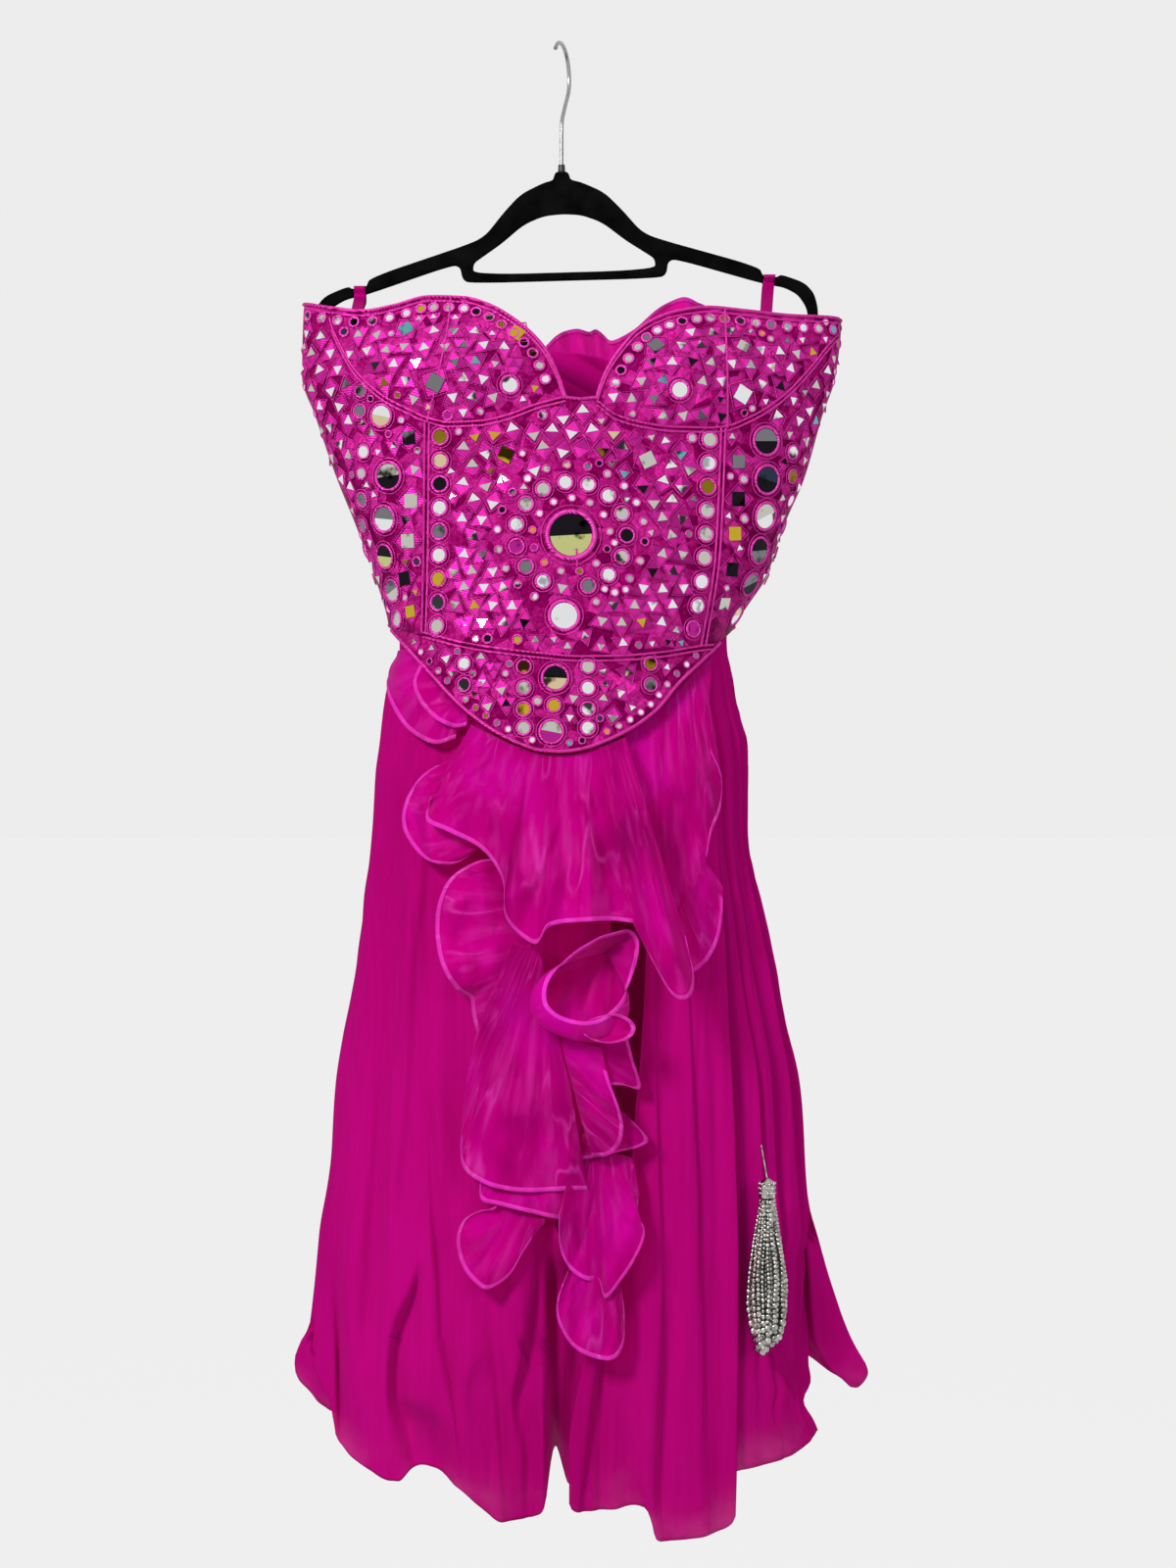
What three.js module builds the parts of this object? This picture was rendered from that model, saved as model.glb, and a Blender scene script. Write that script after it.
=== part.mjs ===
// A draped evening dress hanging on a flocked hanger: a stiff mirror-work bustier with a sweetheart
// neckline and a U-shaped hem, a slit chiffon skirt, an organza ruffle cascade and a beaded tassel.
// Millimetres, +Z up, -Y is the front, +X is to the right of someone facing the dress.
// The origin is where the hook's inner top rests on a rail.
import * as THREE from 'three';

// ---- Driving dimensions -------------------------------------------------------------------------
const SEAM = 0.3;              // space between two pieces that are sewn together
const BODICE_WALL = 2.5;       // satin, stiffening and embroidery together
const CHIFFON_WALL = 1.2;
const ORGANZA_WALL = 1.4;
const RIBBON_WALL = 1.0;
const ROUNDNESS = 2.2;         // power of the oval sections: 2 is an ellipse, more is squarer

const WIRE_RADIUS = 1.7;       // hook
const HOOK_RADIUS = 24;        // middle of the wire
const HOOK_TURN = 75;          // degrees that the hook is swivelled out of the hanger's plane
const HOOK_ARC = { from: -42, to: 142 };   // degrees of the bend, from the stem's side round to the tip
const HOOK_STEM = [[0, -88], [0, -72], [1.5, -62], [8.5, -51]];   // distance from the axis, height
const FERRULE = { length: 5.5, foot: 3.1, top: 2.8 };
const HANGER_DEPTH = 6;        // front to back
const HANGER_TILT = 1.6;       // degrees, the right end hangs higher
const NUB_TOP = -105.5;        // top of the hanger's neck

// Sections of the bodice. left and right are at the side seams, front and back are the depths.
const BODICE = [
  { z: -205, left: -214, right: 233, front: 40, back: 34 },
  { z: -228, left: -216, right: 234, front: 52, back: 42 },
  { z: -277, left: -217, right: 229, front: 66, back: 50 },
  { z: -310, left: -206, right: 218, front: 74, back: 54 },
  { z: -362, left: -188, right: 203, front: 79, back: 60 },
  { z: -404, left: -171, right: 185, front: 82, back: 64 },
  { z: -445, left: -156, right: 171, front: 85, back: 68 },
  { z: -480, left: -145.5, right: 150, front: 88, back: 71 },
  { z: -495, left: -143.5, right: 146.5, front: 90.5, back: 72 },
  { z: -545, left: -142, right: 144, front: 97, back: 74 },
  { z: -600, left: -142, right: 144, front: 105, back: 76 },
];
// Cups swell the front by this much over an oval area.
const CUPS = [
  { x: -95, z: -277, wide: 98, high: 52, swell: 12 },
  { x: 118, z: -282, wide: 98, high: 52, swell: 12 },
];
// Neckline: the sweetheart's two arches, one table for each cup.
const NECKLINE_LEFT = [
  { x: -215.5, z: -216 }, { x: -192, z: -223 }, { x: -160, z: -228 }, { x: -137, z: -224.5 },
  { x: -108, z: -217.5 }, { x: -79, z: -219 }, { x: -59, z: -225.5 }, { x: -36, z: -240 },
  { x: -15, z: -261 }, { x: -4, z: -282 }, { x: 4, z: -304.5 },
];
const NECKLINE_RIGHT = [
  { x: 29, z: -306 }, { x: 32, z: -295.5 }, { x: 39, z: -279 }, { x: 51, z: -261 }, { x: 64, z: -246.5 },
  { x: 80, z: -236.5 }, { x: 97, z: -230.5 }, { x: 122, z: -227 }, { x: 150, z: -229 },
  { x: 190, z: -231.5 }, { x: 230, z: -229.5 },
];
const NOTCH_Z = -307;          // flat bottom of the neckline between the cups
const CUP_SEAM_LEVEL = -290;   // the side fronts' rows run level from here down
// Curved seam under each cup.
const CUP_SEAM_LEFT = [
  { x: -192, z: -231 }, { x: -188, z: -244 }, { x: -180, z: -261 }, { x: -171, z: -277 },
  { x: -159, z: -291 }, { x: -143, z: -304.5 }, { x: -126, z: -314 }, { x: -108, z: -322.5 },
  { x: -90, z: -327 }, { x: -66, z: -326.5 }, { x: -43, z: -322 }, { x: -20, z: -313.5 },
  { x: 4, z: NOTCH_Z },
];
const CUP_SEAM_RIGHT = [
  { x: 29, z: -310 }, { x: 45, z: -322 }, { x: 69, z: -328.5 }, { x: 92, z: -331 }, { x: 116, z: -331 },
  { x: 132, z: -329.5 }, { x: 156, z: -319.5 }, { x: 180, z: -303 }, { x: 205, z: -276.5 },
  { x: 219, z: -258 }, { x: 230, z: -244.5 },
];
// Long seams either side of the centre front.
const PRINCESS = [
  { z: -322, left: -108, right: 132 },
  { z: -430, left: -109, right: 127 },
  { z: -508, left: -111, right: 115 },
];
// Waist seam above the hem band, and the hem's free edge.
const WAIST_SEAM = [
  { x: -111, z: -496.5 }, { x: -75, z: -506.5 }, { x: -45, z: -511.5 }, { x: -15, z: -515 },
  { x: 14, z: -517.5 }, { x: 45, z: -517 }, { x: 81, z: -513.5 }, { x: 115, z: -507 },
  { x: 125, z: -505.5 },
];
const HEM = [
  { x: -144, z: -487 }, { x: -124, z: -508.5 }, { x: -107, z: -527 }, { x: -75, z: -559.5 },
  { x: -45, z: -580 }, { x: -15, z: -591.5 }, { x: 0, z: -592.5 }, { x: 14, z: -591 }, { x: 45, z: -580 },
  { x: 75, z: -560.5 }, { x: 96, z: -536 }, { x: 112, z: -520.5 }, { x: 128, z: -504.5 },
  { x: 142, z: -490 },
];
const SIDE_HEM = { left: -484.5, right: -489 };
// Low back edge, from side seam to side seam.
const BACK_NECKLINE = [
  { x: -216, z: -216.5 }, { x: -120, z: -243 }, { x: 8, z: -262 }, { x: 130, z: -250 },
  { x: 234, z: -229.5 },
];
const BACK_HEM = -500;

// Sections of the skirt. left and right are the front layer's sides, and the back layer swings wider
// at the hem, where its corners droop outside the front panels.
const SKIRT = [
  { z: -474, left: -142, right: 146, backLeft: -142, backRight: 146, front: 84.3, back: 67.1 },
  { z: -495, left: -136.5, right: 139, backLeft: -136.5, backRight: 139, front: 81, back: 66 },
  { z: -508, left: -136.5, right: 139.5, backLeft: -136.5, backRight: 139.5, front: 81, back: 67.5 },
  { z: -524, left: -142.5, right: 143.5, backLeft: -142.5, backRight: 143.5, front: 82, back: 71 },
  { z: -546, left: -148.5, right: 147, backLeft: -148.5, backRight: 147, front: 83.5, back: 74 },
  { z: -580, left: -152.5, right: 156.5, backLeft: -152.5, backRight: 156.5, front: 86, back: 78 },
  { z: -607, left: -156, right: 159, backLeft: -156, backRight: 159, front: 88.5, back: 80 },
  { z: -650, left: -157.5, right: 159, backLeft: -157.5, backRight: 159, front: 91, back: 82 },
  { z: -727, left: -168, right: 173, backLeft: -168, backRight: 173, front: 93, back: 84 },
  { z: -799, left: -180, right: 187, backLeft: -180, backRight: 187, front: 94, back: 85 },
  { z: -863, left: -189.5, right: 201, backLeft: -189.5, backRight: 201, front: 94, back: 86 },
  { z: -928, left: -195, right: 205, backLeft: -195, backRight: 205.5, front: 94, back: 86 },
  { z: -994, left: -204, right: 211, backLeft: -204, backRight: 214, front: 93, back: 85 },
  { z: -1054, left: -207.5, right: 213, backLeft: -207.5, backRight: 230, front: 92, back: 84 },
  { z: -1090, left: -212, right: 214, backLeft: -220, backRight: 245, front: 91, back: 82 },
  { z: -1110, left: -212, right: 215, backLeft: -222, backRight: 260, front: 90.5, back: 80 },
  { z: -1230, left: -212, right: 218, backLeft: -215, backRight: 252, front: 88, back: 80 },
];
const SKIRT_TOP = -474;
// Shares of the length, close at the waist.
const SKIRT_RINGS = [0, 0.03, 0.065, 0.105, 0.17, 0.27, 0.42, 0.6, 0.8, 1];
// Free edges of the front panels: the left panel's slit edge and its side, and both of the right's.
const FRONT_LEFT_PANEL = [
  { z: -474, side: -142, slit: 42 }, { z: -760, side: -173.4, slit: 42 },
  { z: -895, side: -191.5, slit: 39 },
  { z: -935, side: -197, slit: 24 }, { z: -965, side: -201, slit: -4 },
  { z: -1000, side: -204.5, slit: -14 }, { z: -1060, side: -208.3, slit: -17 },
  { z: -1100, side: -203, slit: -15 }, { z: -1130, side: -191.5, slit: -13.5 },
  { z: -1210, side: -176, slit: -9 },
];
const FRONT_RIGHT_PANEL = [
  { z: -474, slit: 46, edge: 98 }, { z: -620, slit: 62, edge: 124 }, { z: -743, slit: 70, edge: 134 },
  { z: -920, slit: 61, edge: 142 }, { z: -1010, slit: 42, edge: 143 }, { z: -1086, slit: 18, edge: 143 },
  { z: -1150, slit: 7, edge: 143 }, { z: -1230, slit: 7, edge: 142 },
];
const SIDE_RIGHT_INNER = [{ z: -474, x: 84 }, { z: -700, x: 104 }, { z: -1230, x: 112 }];
const SIDE_RIGHT_OUTER = [{ z: -474, x: 146 }, { z: -990, x: 210.5 }, { z: -1130, x: 208 },
  { z: -1160, x: 215 }];
const UNDER_LAYER = { top: 1.9, full: 7, from: -474, to: -620 };   // how far the side panel lies inside

// Hems, side to side.
const HEM_FRONT_LEFT = [
  { x: -192, z: -1128 }, { x: -187, z: -1146 }, { x: -176, z: -1165 }, { x: -153, z: -1175 },
  { x: -135, z: -1181 }, { x: -117, z: -1168 }, { x: -102, z: -1171.5 }, { x: -83, z: -1182.5 },
  { x: -67, z: -1197 }, { x: -45, z: -1209.5 }, { x: -23, z: -1205 }, { x: -9, z: -1190 },
];
const HEM_FRONT_RIGHT = [
  { x: 7, z: -1200 }, { x: 41, z: -1200 }, { x: 62, z: -1197 }, { x: 72, z: -1211 }, { x: 79, z: -1225 },
  { x: 111, z: -1224 }, { x: 135, z: -1219 }, { x: 143, z: -1213 },
];
const HEM_SIDE_RIGHT = [{ x: 112, z: -1176 }, { x: 143, z: -1173 }, { x: 168, z: -1169 },
  { x: 203, z: -1161 }, { x: 216, z: -1155 }];
const HEM_BACK = [
  { x: -222, z: -1112 }, { x: -213, z: -1127 }, { x: -190, z: -1135 }, { x: -120, z: -1140 },
  { x: 0, z: -1128 },
  { x: 120, z: -1112 }, { x: 226, z: -1105 }, { x: 240, z: -1116 }, { x: 250, z: -1122 },
  { x: 260, z: -1112 },
];

// Folds: soft troughs that run down a panel, from atTop to atHem, and reach their depth at the hem.
const FOLDS_FRONT_LEFT = [
  { atTop: -118, atHem: -160, width: 9, depth: 9, from: -560 },
  { atTop: -92, atHem: -128, width: 8, depth: 16, from: -620 },
  { atTop: -70, atHem: -97, width: 7, depth: 9, from: -900 },
  { atTop: -58, atHem: -62, width: 9, depth: 17, from: -560 },
  { atTop: -22, atHem: -33, width: 8, depth: 10, from: -800 },
];
const FOLDS_FRONT_RIGHT = [
  { atTop: 66, atHem: 30, width: 7, depth: 8, from: -520 },
  { atTop: 76, atHem: 60, width: 6, depth: 10, from: -520 },
  { atTop: 88, atHem: 92, width: 7, depth: 8, from: -600 },
  { atTop: 95, atHem: 120, width: 6, depth: 5, from: -700 },
];
const SIDE_PLEATS = { count: 6, depth: 10 };
const BACK_FOLDS = { count: 4, depth: 13 };

// ---- Organza ruffles ----------------------------------------------------------------------------
// Each lobe is a fan from its seam to its bound edge. lift is how far the edge stands in front of the
// skirt, crown is how far the fan swells between seam and edge (less than nothing is a dish).
const table = (columns, ...rows) =>
  rows.map((row) => Object.fromEntries(columns.map((name, i) => [name, row[i]])));
const FAN = ['seamX', 'seamZ', 'edgeX', 'edgeZ', 'lift'];
const RUFFLES = {
  ruffle_hip_left: {
    seamLift: 4.6, crown: 3, rows: table(FAN,
      [-123, -511, -130, -516, 5.5], [-119, -515, -140, -529, 8], [-110, -525, -137, -550, 9],
      [-100, -535.5, -123, -574, 9], [-89, -547, -102, -585, 9], [-80, -556, -85, -580, 8]),
  },
  ruffle_hip_left_inner: {
    seamLift: 6.6, crown: 3, rows: table(FAN,
      [-108, -528, -111, -533, 12], [-102, -534, -114, -543, 15], [-94, -542.5, -109, -556, 17],
      [-86, -550.5, -96, -569, 17], [-79, -557.5, -82, -573, 15], [-74, -562, -72, -571, 12]),
  },
  ruffle_upper_left: {
    seamLift: 2.2, crown: 5, rows: table(FAN,
      [-52, -590, -81, -594, 9], [-50, -602, -110, -610, 13], [-50, -618, -125, -632, 14],
      [-50, -633, -126, -655, 14], [-50, -647, -109, -677, 14], [-50, -656, -85, -681, 12],
      [-48, -664, -68, -670, 9]),
  },
  ruffle_main: {
    seamLift: 13.5, crown: 4, rows: table(FAN,
      [-71, -570, -104, -631, 24], [-62, -575, -106, -647, 27], [-53, -579, -87, -656, 27],
      [-43, -584, -61, -670, 28], [-32, -588.5, -45, -693, 30], [-20, -592, -42, -724, 32],
      [-10, -594, -20, -743, 34], [1, -594.5, -9, -730, 31], [13, -593.5, 14, -726, 31],
      [24, -590, 41, -725, 32],
      [33, -586.5, 67, -728, 34]),
  },
  ruffle_flute: {
    seamLift: 15.6, crown: 7, rows: table(FAN,
      [31, -588.5, 58, -728, 38], [36, -587, 74, -759, 44], [40, -585.5, 89, -783, 50],
      [44, -583.5, 101, -784, 50], [48, -582, 105, -769, 44], [52, -580, 99, -740, 38]),
  },
  ruffle_mid_left: {
    seamLift: 2.1, crown: 5, rows: table(FAN,
      [-36, -683, -63, -680, 9], [-34, -695, -85, -687, 14], [-34, -710, -97, -707, 16],
      [-33, -730, -100, -738, 17],
      [-32, -749, -95, -769, 17], [-32, -763, -82, -788, 15], [-34, -772, -71, -803, 13],
      [-38, -781, -62, -825, 11]),
  },
  ruffle_loop: {
    seamLift: 2.2, crown: -2, rows: table(FAN,
      [40, -741, 53, -735, 18], [37, -741, 22, -745, 22], [34, -744, -1, -772, 26],
      [33, -749, -13, -795, 26],
      [34, -754, -7, -815, 24], [37, -757, 16, -822, 22], [40, -757, 42, -809, 20],
      [42, -753, 59, -776, 18]),
  },
  ruffle_bow: {
    seamLift: 21.7, crown: 1, rows: table(FAN,
      [22, -808, 28, -802, 26], [24, -806, 41, -797, 28], [26, -807, 54, -798, 29],
      [27, -810, 59, -807, 28],
      [26, -813, 48, -818, 27], [23, -814, 30, -819, 26]),
  },
  ruffle_centre: {
    seamLift: 7.1, crown: 7, rows: table(FAN,
      [-29, -775, -18, -775, 7.7], [-43, -819, -7, -819, 9], [-59, -866, 6, -866, 10],
      [-72, -912, 13, -912, 10],
      [-67, -938, 14, -938, 10]),
  },
  ruffle_centre_hem: {
    seamLift: 5, crown: 2, rows: table(FAN,
      [-56, -885, 2, -885, 1.9], [-62, -915, 12, -915, 5.6], [-67, -946, 18, -950, 6.4],
      [-60, -951, 21, -963, 7]),
  },
  ruffle_low_left: {
    seamLift: 0.9, crown: 4, rows: table(FAN,
      [-48, -955, -63, -959, 8], [-45, -956, -79, -975, 12], [-41, -957, -81, -997, 13],
      [-37, -958, -71, -1014, 13],
      [-32, -959, -54, -1014, 12], [-28, -960, -32, -994, 10], [-24, -961, -19, -975, 8]),
  },
  ruffle_mid_right: {
    seamLift: 4.7, crown: 4, rows: table(FAN,
      [26, -827, 33, -831, 12], [25, -838, 39, -854, 16], [24, -850, 48, -877, 18],
      [24, -862, 50, -891, 18],
      [24, -873, 45, -904, 17], [24, -886, 34, -910, 15], [24, -896, 26, -912, 12]),
  },
  ruffle_flap_right: {
    seamLift: 2, crown: 1, rows: table(FAN,
      [24, -821, 32, -820, 5], [25, -829, 54, -838, 8], [26, -837, 62, -858, 9], [27, -845, 41, -857, 6]),
  },
  ruffle_point_right: {
    seamLift: 2, crown: 1, rows: table(FAN,
      [26, -866, 57, -887, 7], [25, -880, 70, -898, 9], [25, -892, 70, -906, 9], [25, -900, 46, -910, 8],
      [25, -905, 27, -909, 6]),
  },
  ruffle_low_right: {
    seamLift: 2, crown: 4, rows: table(FAN,
      [27, -913, 6, -964, 12], [28, -914, 0, -981, 14], [31, -914.5, 7, -999, 15],
      [34, -915, 21, -1008, 16],
      [38, -915.5, 36, -1020, 17], [43, -916.5, 53, -1003, 16], [48, -917.5, 66, -983, 15],
      [54, -919, 64, -962, 13]),
  },
  ruffle_tail: {
    seamLift: 12.3, crown: 0, rows: table(FAN,
      [16, -988, 4, -1012, 13], [20, -988, -3, -1031, 15], [23, -988, 0, -1049, 16],
      [26, -988, 11, -1063, 16],
      [30, -988, 25, -1071, 16], [34, -988, 42, -1070, 16], [38, -988, 49, -1056, 16],
      [42, -988, 50, -1029, 15]),
  },
  ruffle_hip_right: {
    seamLift: 1.9, crown: 3, rows: table(FAN,
      [62, -568, 61, -610, 6], [71, -563, 75, -649, 9], [83, -552, 94, -680, 10], [94, -540, 108, -680, 11],
      [104, -529, 117, -656, 11], [112, -522, 126, -637, 10], [119, -516, 128, -614, 8],
      [125, -510, 130, -578, 6]),
  },
  ruffle_side_right: {
    seamLift: 1.9, crown: 3, rows: table(FAN,
      [92, -666, 129, -713, 10], [91, -680, 128, -733, 12], [90, -696, 122, -752, 12],
      [89, -711, 107, -768, 11],
      [88, -723, 96, -766, 9]),
  },
};
// The ruffle on the back neckline stands up and leans back.
const BACK_RUFFLE = table(['seamX', 'seamZ', 'edgeX', 'edgeZ', 'lift'],
  [-6, -266, -9, -252, 2], [8, -266, 2, -240, 5], [22, -267, 22, -229, 8], [38, -268, 44, -234, 9],
  [50, -266, 59, -230, 8], [62, -264, 70, -243, 5], [76, -262, 80, -221, 9], [92, -260, 100, -204, 12],
  [108, -257, 119, -213, 10], [122, -255, 134, -236, 5]);
// Chiffon drape inside the back neckline: its top edge falls to the right.
const BACK_DRAPE = table(['x', 'top', 'bottom'],
  [-26, -252, -338], [0, -249, -344], [25, -252, -346], [50, -260, -344], [75, -268, -338],
  [98, -272, -330]);

// Ribbon loops: the notch that each hangs in, and where it is sewn inside the neckline.
const LOOPS = {
  left: { notchX: -168.8, notchZ: -202.6, sewnX: -167.6, sewnZ: -243, neckZ: -226 },
  right: { notchX: 174, notchZ: -193, sewnX: 166.5, sewnZ: -245, neckZ: -229 },
};
const RIBBON_WIDTH = 9.5;

// Hanger: one half's outline, from the neck out to the arm's end and back along its underside.
const HANGER_TOP_EDGE = table(['x', 'z'], [4.4, -105.5], [6.2, -108], [7.4, -112.5], [16, -114.6],
  [35, -123.5],
  [50, -139], [64, -156], [76, -163], [163, -189.5], [166, -197.8], [177.5, -198.9], [181, -196.4],
  [200, -203.6],
  [208, -212.5], [210, -221]);
const HANGER_UNDERSIDE = table(['x', 'z'], [202, -222.5], [195, -213.5], [183, -206.8], [168, -204.2],
  [93, -180.5], [87, -183], [85.5, -192.5], [80, -196.5]);
const HANGER_WINDOW = table(['x', 'z'], [76, -189.8], [76, -180], [68, -174.5], [52, -164], [33, -148.5],
  [16, -141.8]);
const WINDOW_TOP = -140.5;

// Silver bead tassel that hangs in front of the side panel.
const TASSEL = { x: 166, z: -934, radius: 17, capRadius: 6.5, capLength: 16, length: 142, loopRadius: 0.9 };

// ---- Tables and sections ------------------------------------------------------------------------
const clamp = (value, low, high) => Math.min(high, Math.max(low, value));
const mix = (a, b, t) => a + (b - a) * t;
const smooth = (t) => {
  const s = clamp(t, 0, 1);
  return s * s * (3 - 2 * s);
};
const steps = (count) => Array.from({ length: count + 1 }, (_, i) => i / count);

/** One column of a table, read at a place between its rows on a curve that never overshoots them. */
function read(table, key, column, at) {
  const rows = table[0][key] <= table.at(-1)[key] ? table : [...table].reverse();
  const place = clamp(at, rows[0][key], rows.at(-1)[key]);
  const i = clamp(rows.findIndex((row) => row[key] >= place) - 1, 0, rows.length - 2);
  const slope = (j) => (rows[j + 1][column] - rows[j][column]) / (rows[j + 1][key] - rows[j][key]);
  const tangent = (j) => {
    if (j === 0) return slope(0);
    if (j === rows.length - 1) return slope(j - 1);
    return slope(j - 1) * slope(j) <= 0 ? 0 : (2 * slope(j - 1) * slope(j)) / (slope(j - 1) + slope(j));
  };
  const span = rows[i + 1][key] - rows[i][key];
  const t = (place - rows[i][key]) / span;
  const a = rows[i][column];
  const b = rows[i + 1][column];
  const start = (2 * t ** 3 - 3 * t ** 2 + 1) * a + (t ** 3 - 2 * t ** 2 + t) * span * tangent(i);
  return start + (3 * t ** 2 - 2 * t ** 3) * b + (t ** 3 - t ** 2) * span * tangent(i + 1);
}

/** Oval section: a point at an angle round it, 0 at the right side, PI at the left, front is -Y. */
function ovalPoint(left, right, depth, angle, z) {
  const middle = (left + right) / 2;
  const half = (right - left) / 2;
  const cosine = Math.cos(angle);
  const power = 2 / ROUNDNESS;
  const x = middle + half * Math.sign(cosine) * Math.abs(cosine) ** power;
  return new THREE.Vector3(x, -depth * Math.abs(Math.sin(angle)) ** power, z);
}
function ovalAngle(left, right, x) {
  const reach = clamp((x - (left + right) / 2) / ((right - left) / 2), -1, 1);
  return Math.acos(Math.sign(reach) * Math.abs(reach) ** (ROUNDNESS / 2));
}

function cupSwell(x, z) {
  const swells = CUPS.map((cup) => {
    const inside = Math.max(0, 1 - ((x - cup.x) / cup.wide) ** 2 - ((z - cup.z) / cup.high) ** 2);
    return cup.swell * inside ** 2;
  });
  return swells[0] + swells[1];
}
const bodiceWidth = (z) => [read(BODICE, 'z', 'left', z), read(BODICE, 'z', 'right', z)];
const bodiceAngle = (x, z) => ovalAngle(...bodiceWidth(z), x);
function bodiceAround(angle, z) {
  const point = ovalPoint(...bodiceWidth(z), read(BODICE, 'z', 'front', z), angle, z);
  point.y -= cupSwell(point.x, z);
  return point;
}
const bodiceAt = (x, z) => bodiceAround(bodiceAngle(x, z), z);
function bodiceBack(angle, z) {
  const point = ovalPoint(...bodiceWidth(z), read(BODICE, 'z', 'back', z), angle, z);
  point.y *= -1;
  return point;
}

const skirtWidth = (z) => [read(SKIRT, 'z', 'left', z), read(SKIRT, 'z', 'right', z)];
const skirtAngle = (x, z) => ovalAngle(...skirtWidth(z), x);
const skirtAround = (angle, z, inside = 0) =>
  ovalPoint(...skirtWidth(z), read(SKIRT, 'z', 'front', z) - inside, angle, z);
const skirtAt = (x, z) => skirtAround(skirtAngle(x, z), z);

// ---- Cloth --------------------------------------------------------------------------------------
/** Closed wall of cloth behind a grid of points. inwardAt gives the direction of its depth. */
function clothWall(grid, thickness, inwardAt) {
  const rows = grid.length;
  const columns = grid[0].length;
  const inner = grid.map((line, j) =>
    line.map((point, i) => point.clone().addScaledVector(inwardAt(point, j, i, grid), thickness)),
  );
  const points = [...grid.flat(), ...inner.flat()];
  const outerAt = (j, i) => j * columns + i;
  const innerAt = (j, i) => rows * columns + j * columns + i;
  const faces = [];
  const quad = (a, b, c, d) => faces.push(a, b, c, a, c, d);
  for (let j = 0; j + 1 < rows; j++) {
    for (let i = 0; i + 1 < columns; i++) {
      quad(outerAt(j, i), outerAt(j + 1, i), outerAt(j + 1, i + 1), outerAt(j, i + 1));
      quad(innerAt(j, i), innerAt(j, i + 1), innerAt(j + 1, i + 1), innerAt(j + 1, i));
    }
  }
  for (let i = 0; i + 1 < columns; i++) {
    quad(outerAt(0, i), outerAt(0, i + 1), innerAt(0, i + 1), innerAt(0, i));
    quad(outerAt(rows - 1, i + 1), outerAt(rows - 1, i), innerAt(rows - 1, i), innerAt(rows - 1, i + 1));
  }
  for (let j = 0; j + 1 < rows; j++) {
    quad(outerAt(j + 1, 0), outerAt(j, 0), innerAt(j, 0), innerAt(j + 1, 0));
    const end = columns - 1;
    quad(outerAt(j, end), outerAt(j + 1, end), innerAt(j + 1, end), innerAt(j, end));
  }
  return closedGeometry(points, faces);
}

/** Geometry whose faces point out, whichever way round its grid ran. */
function closedGeometry(points, faces) {
  let volume = 0;
  for (let f = 0; f < faces.length; f += 3) {
    const [a, b, c] = [points[faces[f]], points[faces[f + 1]], points[faces[f + 2]]];
    volume += a.dot(new THREE.Vector3().crossVectors(b, c));
  }
  const index = volume > 0 ? faces : [...faces].reverse();
  const geometry = new THREE.BufferGeometry();
  const places = points.flatMap((point) => [point.x, point.y, point.z]);
  geometry.setAttribute('position', new THREE.Float32BufferAttribute(places, 3));
  geometry.setIndex(index);
  geometry.computeVertexNormals();
  return geometry;
}

/** A turned solid whose profile is given as radius and height. */
function lathe(profile, segments) {
  const outline = profile.map(([radius, z]) => new THREE.Vector2(radius, z));
  return new THREE.LatheGeometry(outline, segments).rotateX(Math.PI / 2);
}
/** Round section of a wire or cord. */
function wireSection(radius, sides) {
  return new THREE.Shape(Array.from({ length: sides }, (_, i) => {
    const angle = (i / sides) * 2 * Math.PI;
    return new THREE.Vector2(radius * Math.cos(angle), radius * Math.sin(angle));
  }));
}

const dress = new THREE.Group();
const FINISH = {
  embroidery: { color: 0xc81e8c, roughness: 0.4, metalness: 0.1 },
  chiffon: { color: 0xb8006e, roughness: 0.75, metalness: 0 },
  organza: { color: 0xd2008c, roughness: 0.5, metalness: 0 },
  ribbon: { color: 0xa8006a, roughness: 0.5, metalness: 0 },
  flock: { color: 0x060607, roughness: 0.95, metalness: 0 },
  steel: { color: 0xc4c6c8, roughness: 0.2, metalness: 1 },
  beads: { color: 0xb9b7b0, roughness: 0.25, metalness: 0.8 },
};
function add(name, geometry, finish, parent = dress) {
  const mesh = new THREE.Mesh(geometry, new THREE.MeshStandardMaterial(FINISH[finish]));
  mesh.name = name;
  parent.add(mesh);
  return mesh;
}

/** Inward normal of two directions that lie on a surface round the dress. */
function inwardNormal(across, down, point) {
  const normal = new THREE.Vector3().crossVectors(across, down).normalize();
  return normal.x * point.x + normal.y * point.y > 0 ? normal.negate() : normal;
}
const between = (a, b) => new THREE.Vector3().subVectors(a, b);
function gridInward(point, j, i, grid) {
  const line = grid[j];
  const across = between(line[Math.min(i + 1, line.length - 1)], line[Math.max(i - 1, 0)]);
  const down = between(grid[Math.min(j + 1, grid.length - 1)][i], grid[Math.max(j - 1, 0)][i]);
  return inwardNormal(across, down, point);
}
function bodiceInward(point) {
  const surface = point.y > 0.01 ? bodiceBack : bodiceAround;
  const angle = bodiceAngle(point.x, point.z);
  const across = between(surface(angle + 0.02, point.z), surface(angle - 0.02, point.z));
  return inwardNormal(across, between(surface(angle, point.z + 1), surface(angle, point.z - 1)), point);
}

// ---- Bodice -------------------------------------------------------------------------------------
const halfSeam = SEAM / 2 + 0.05;

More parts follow.
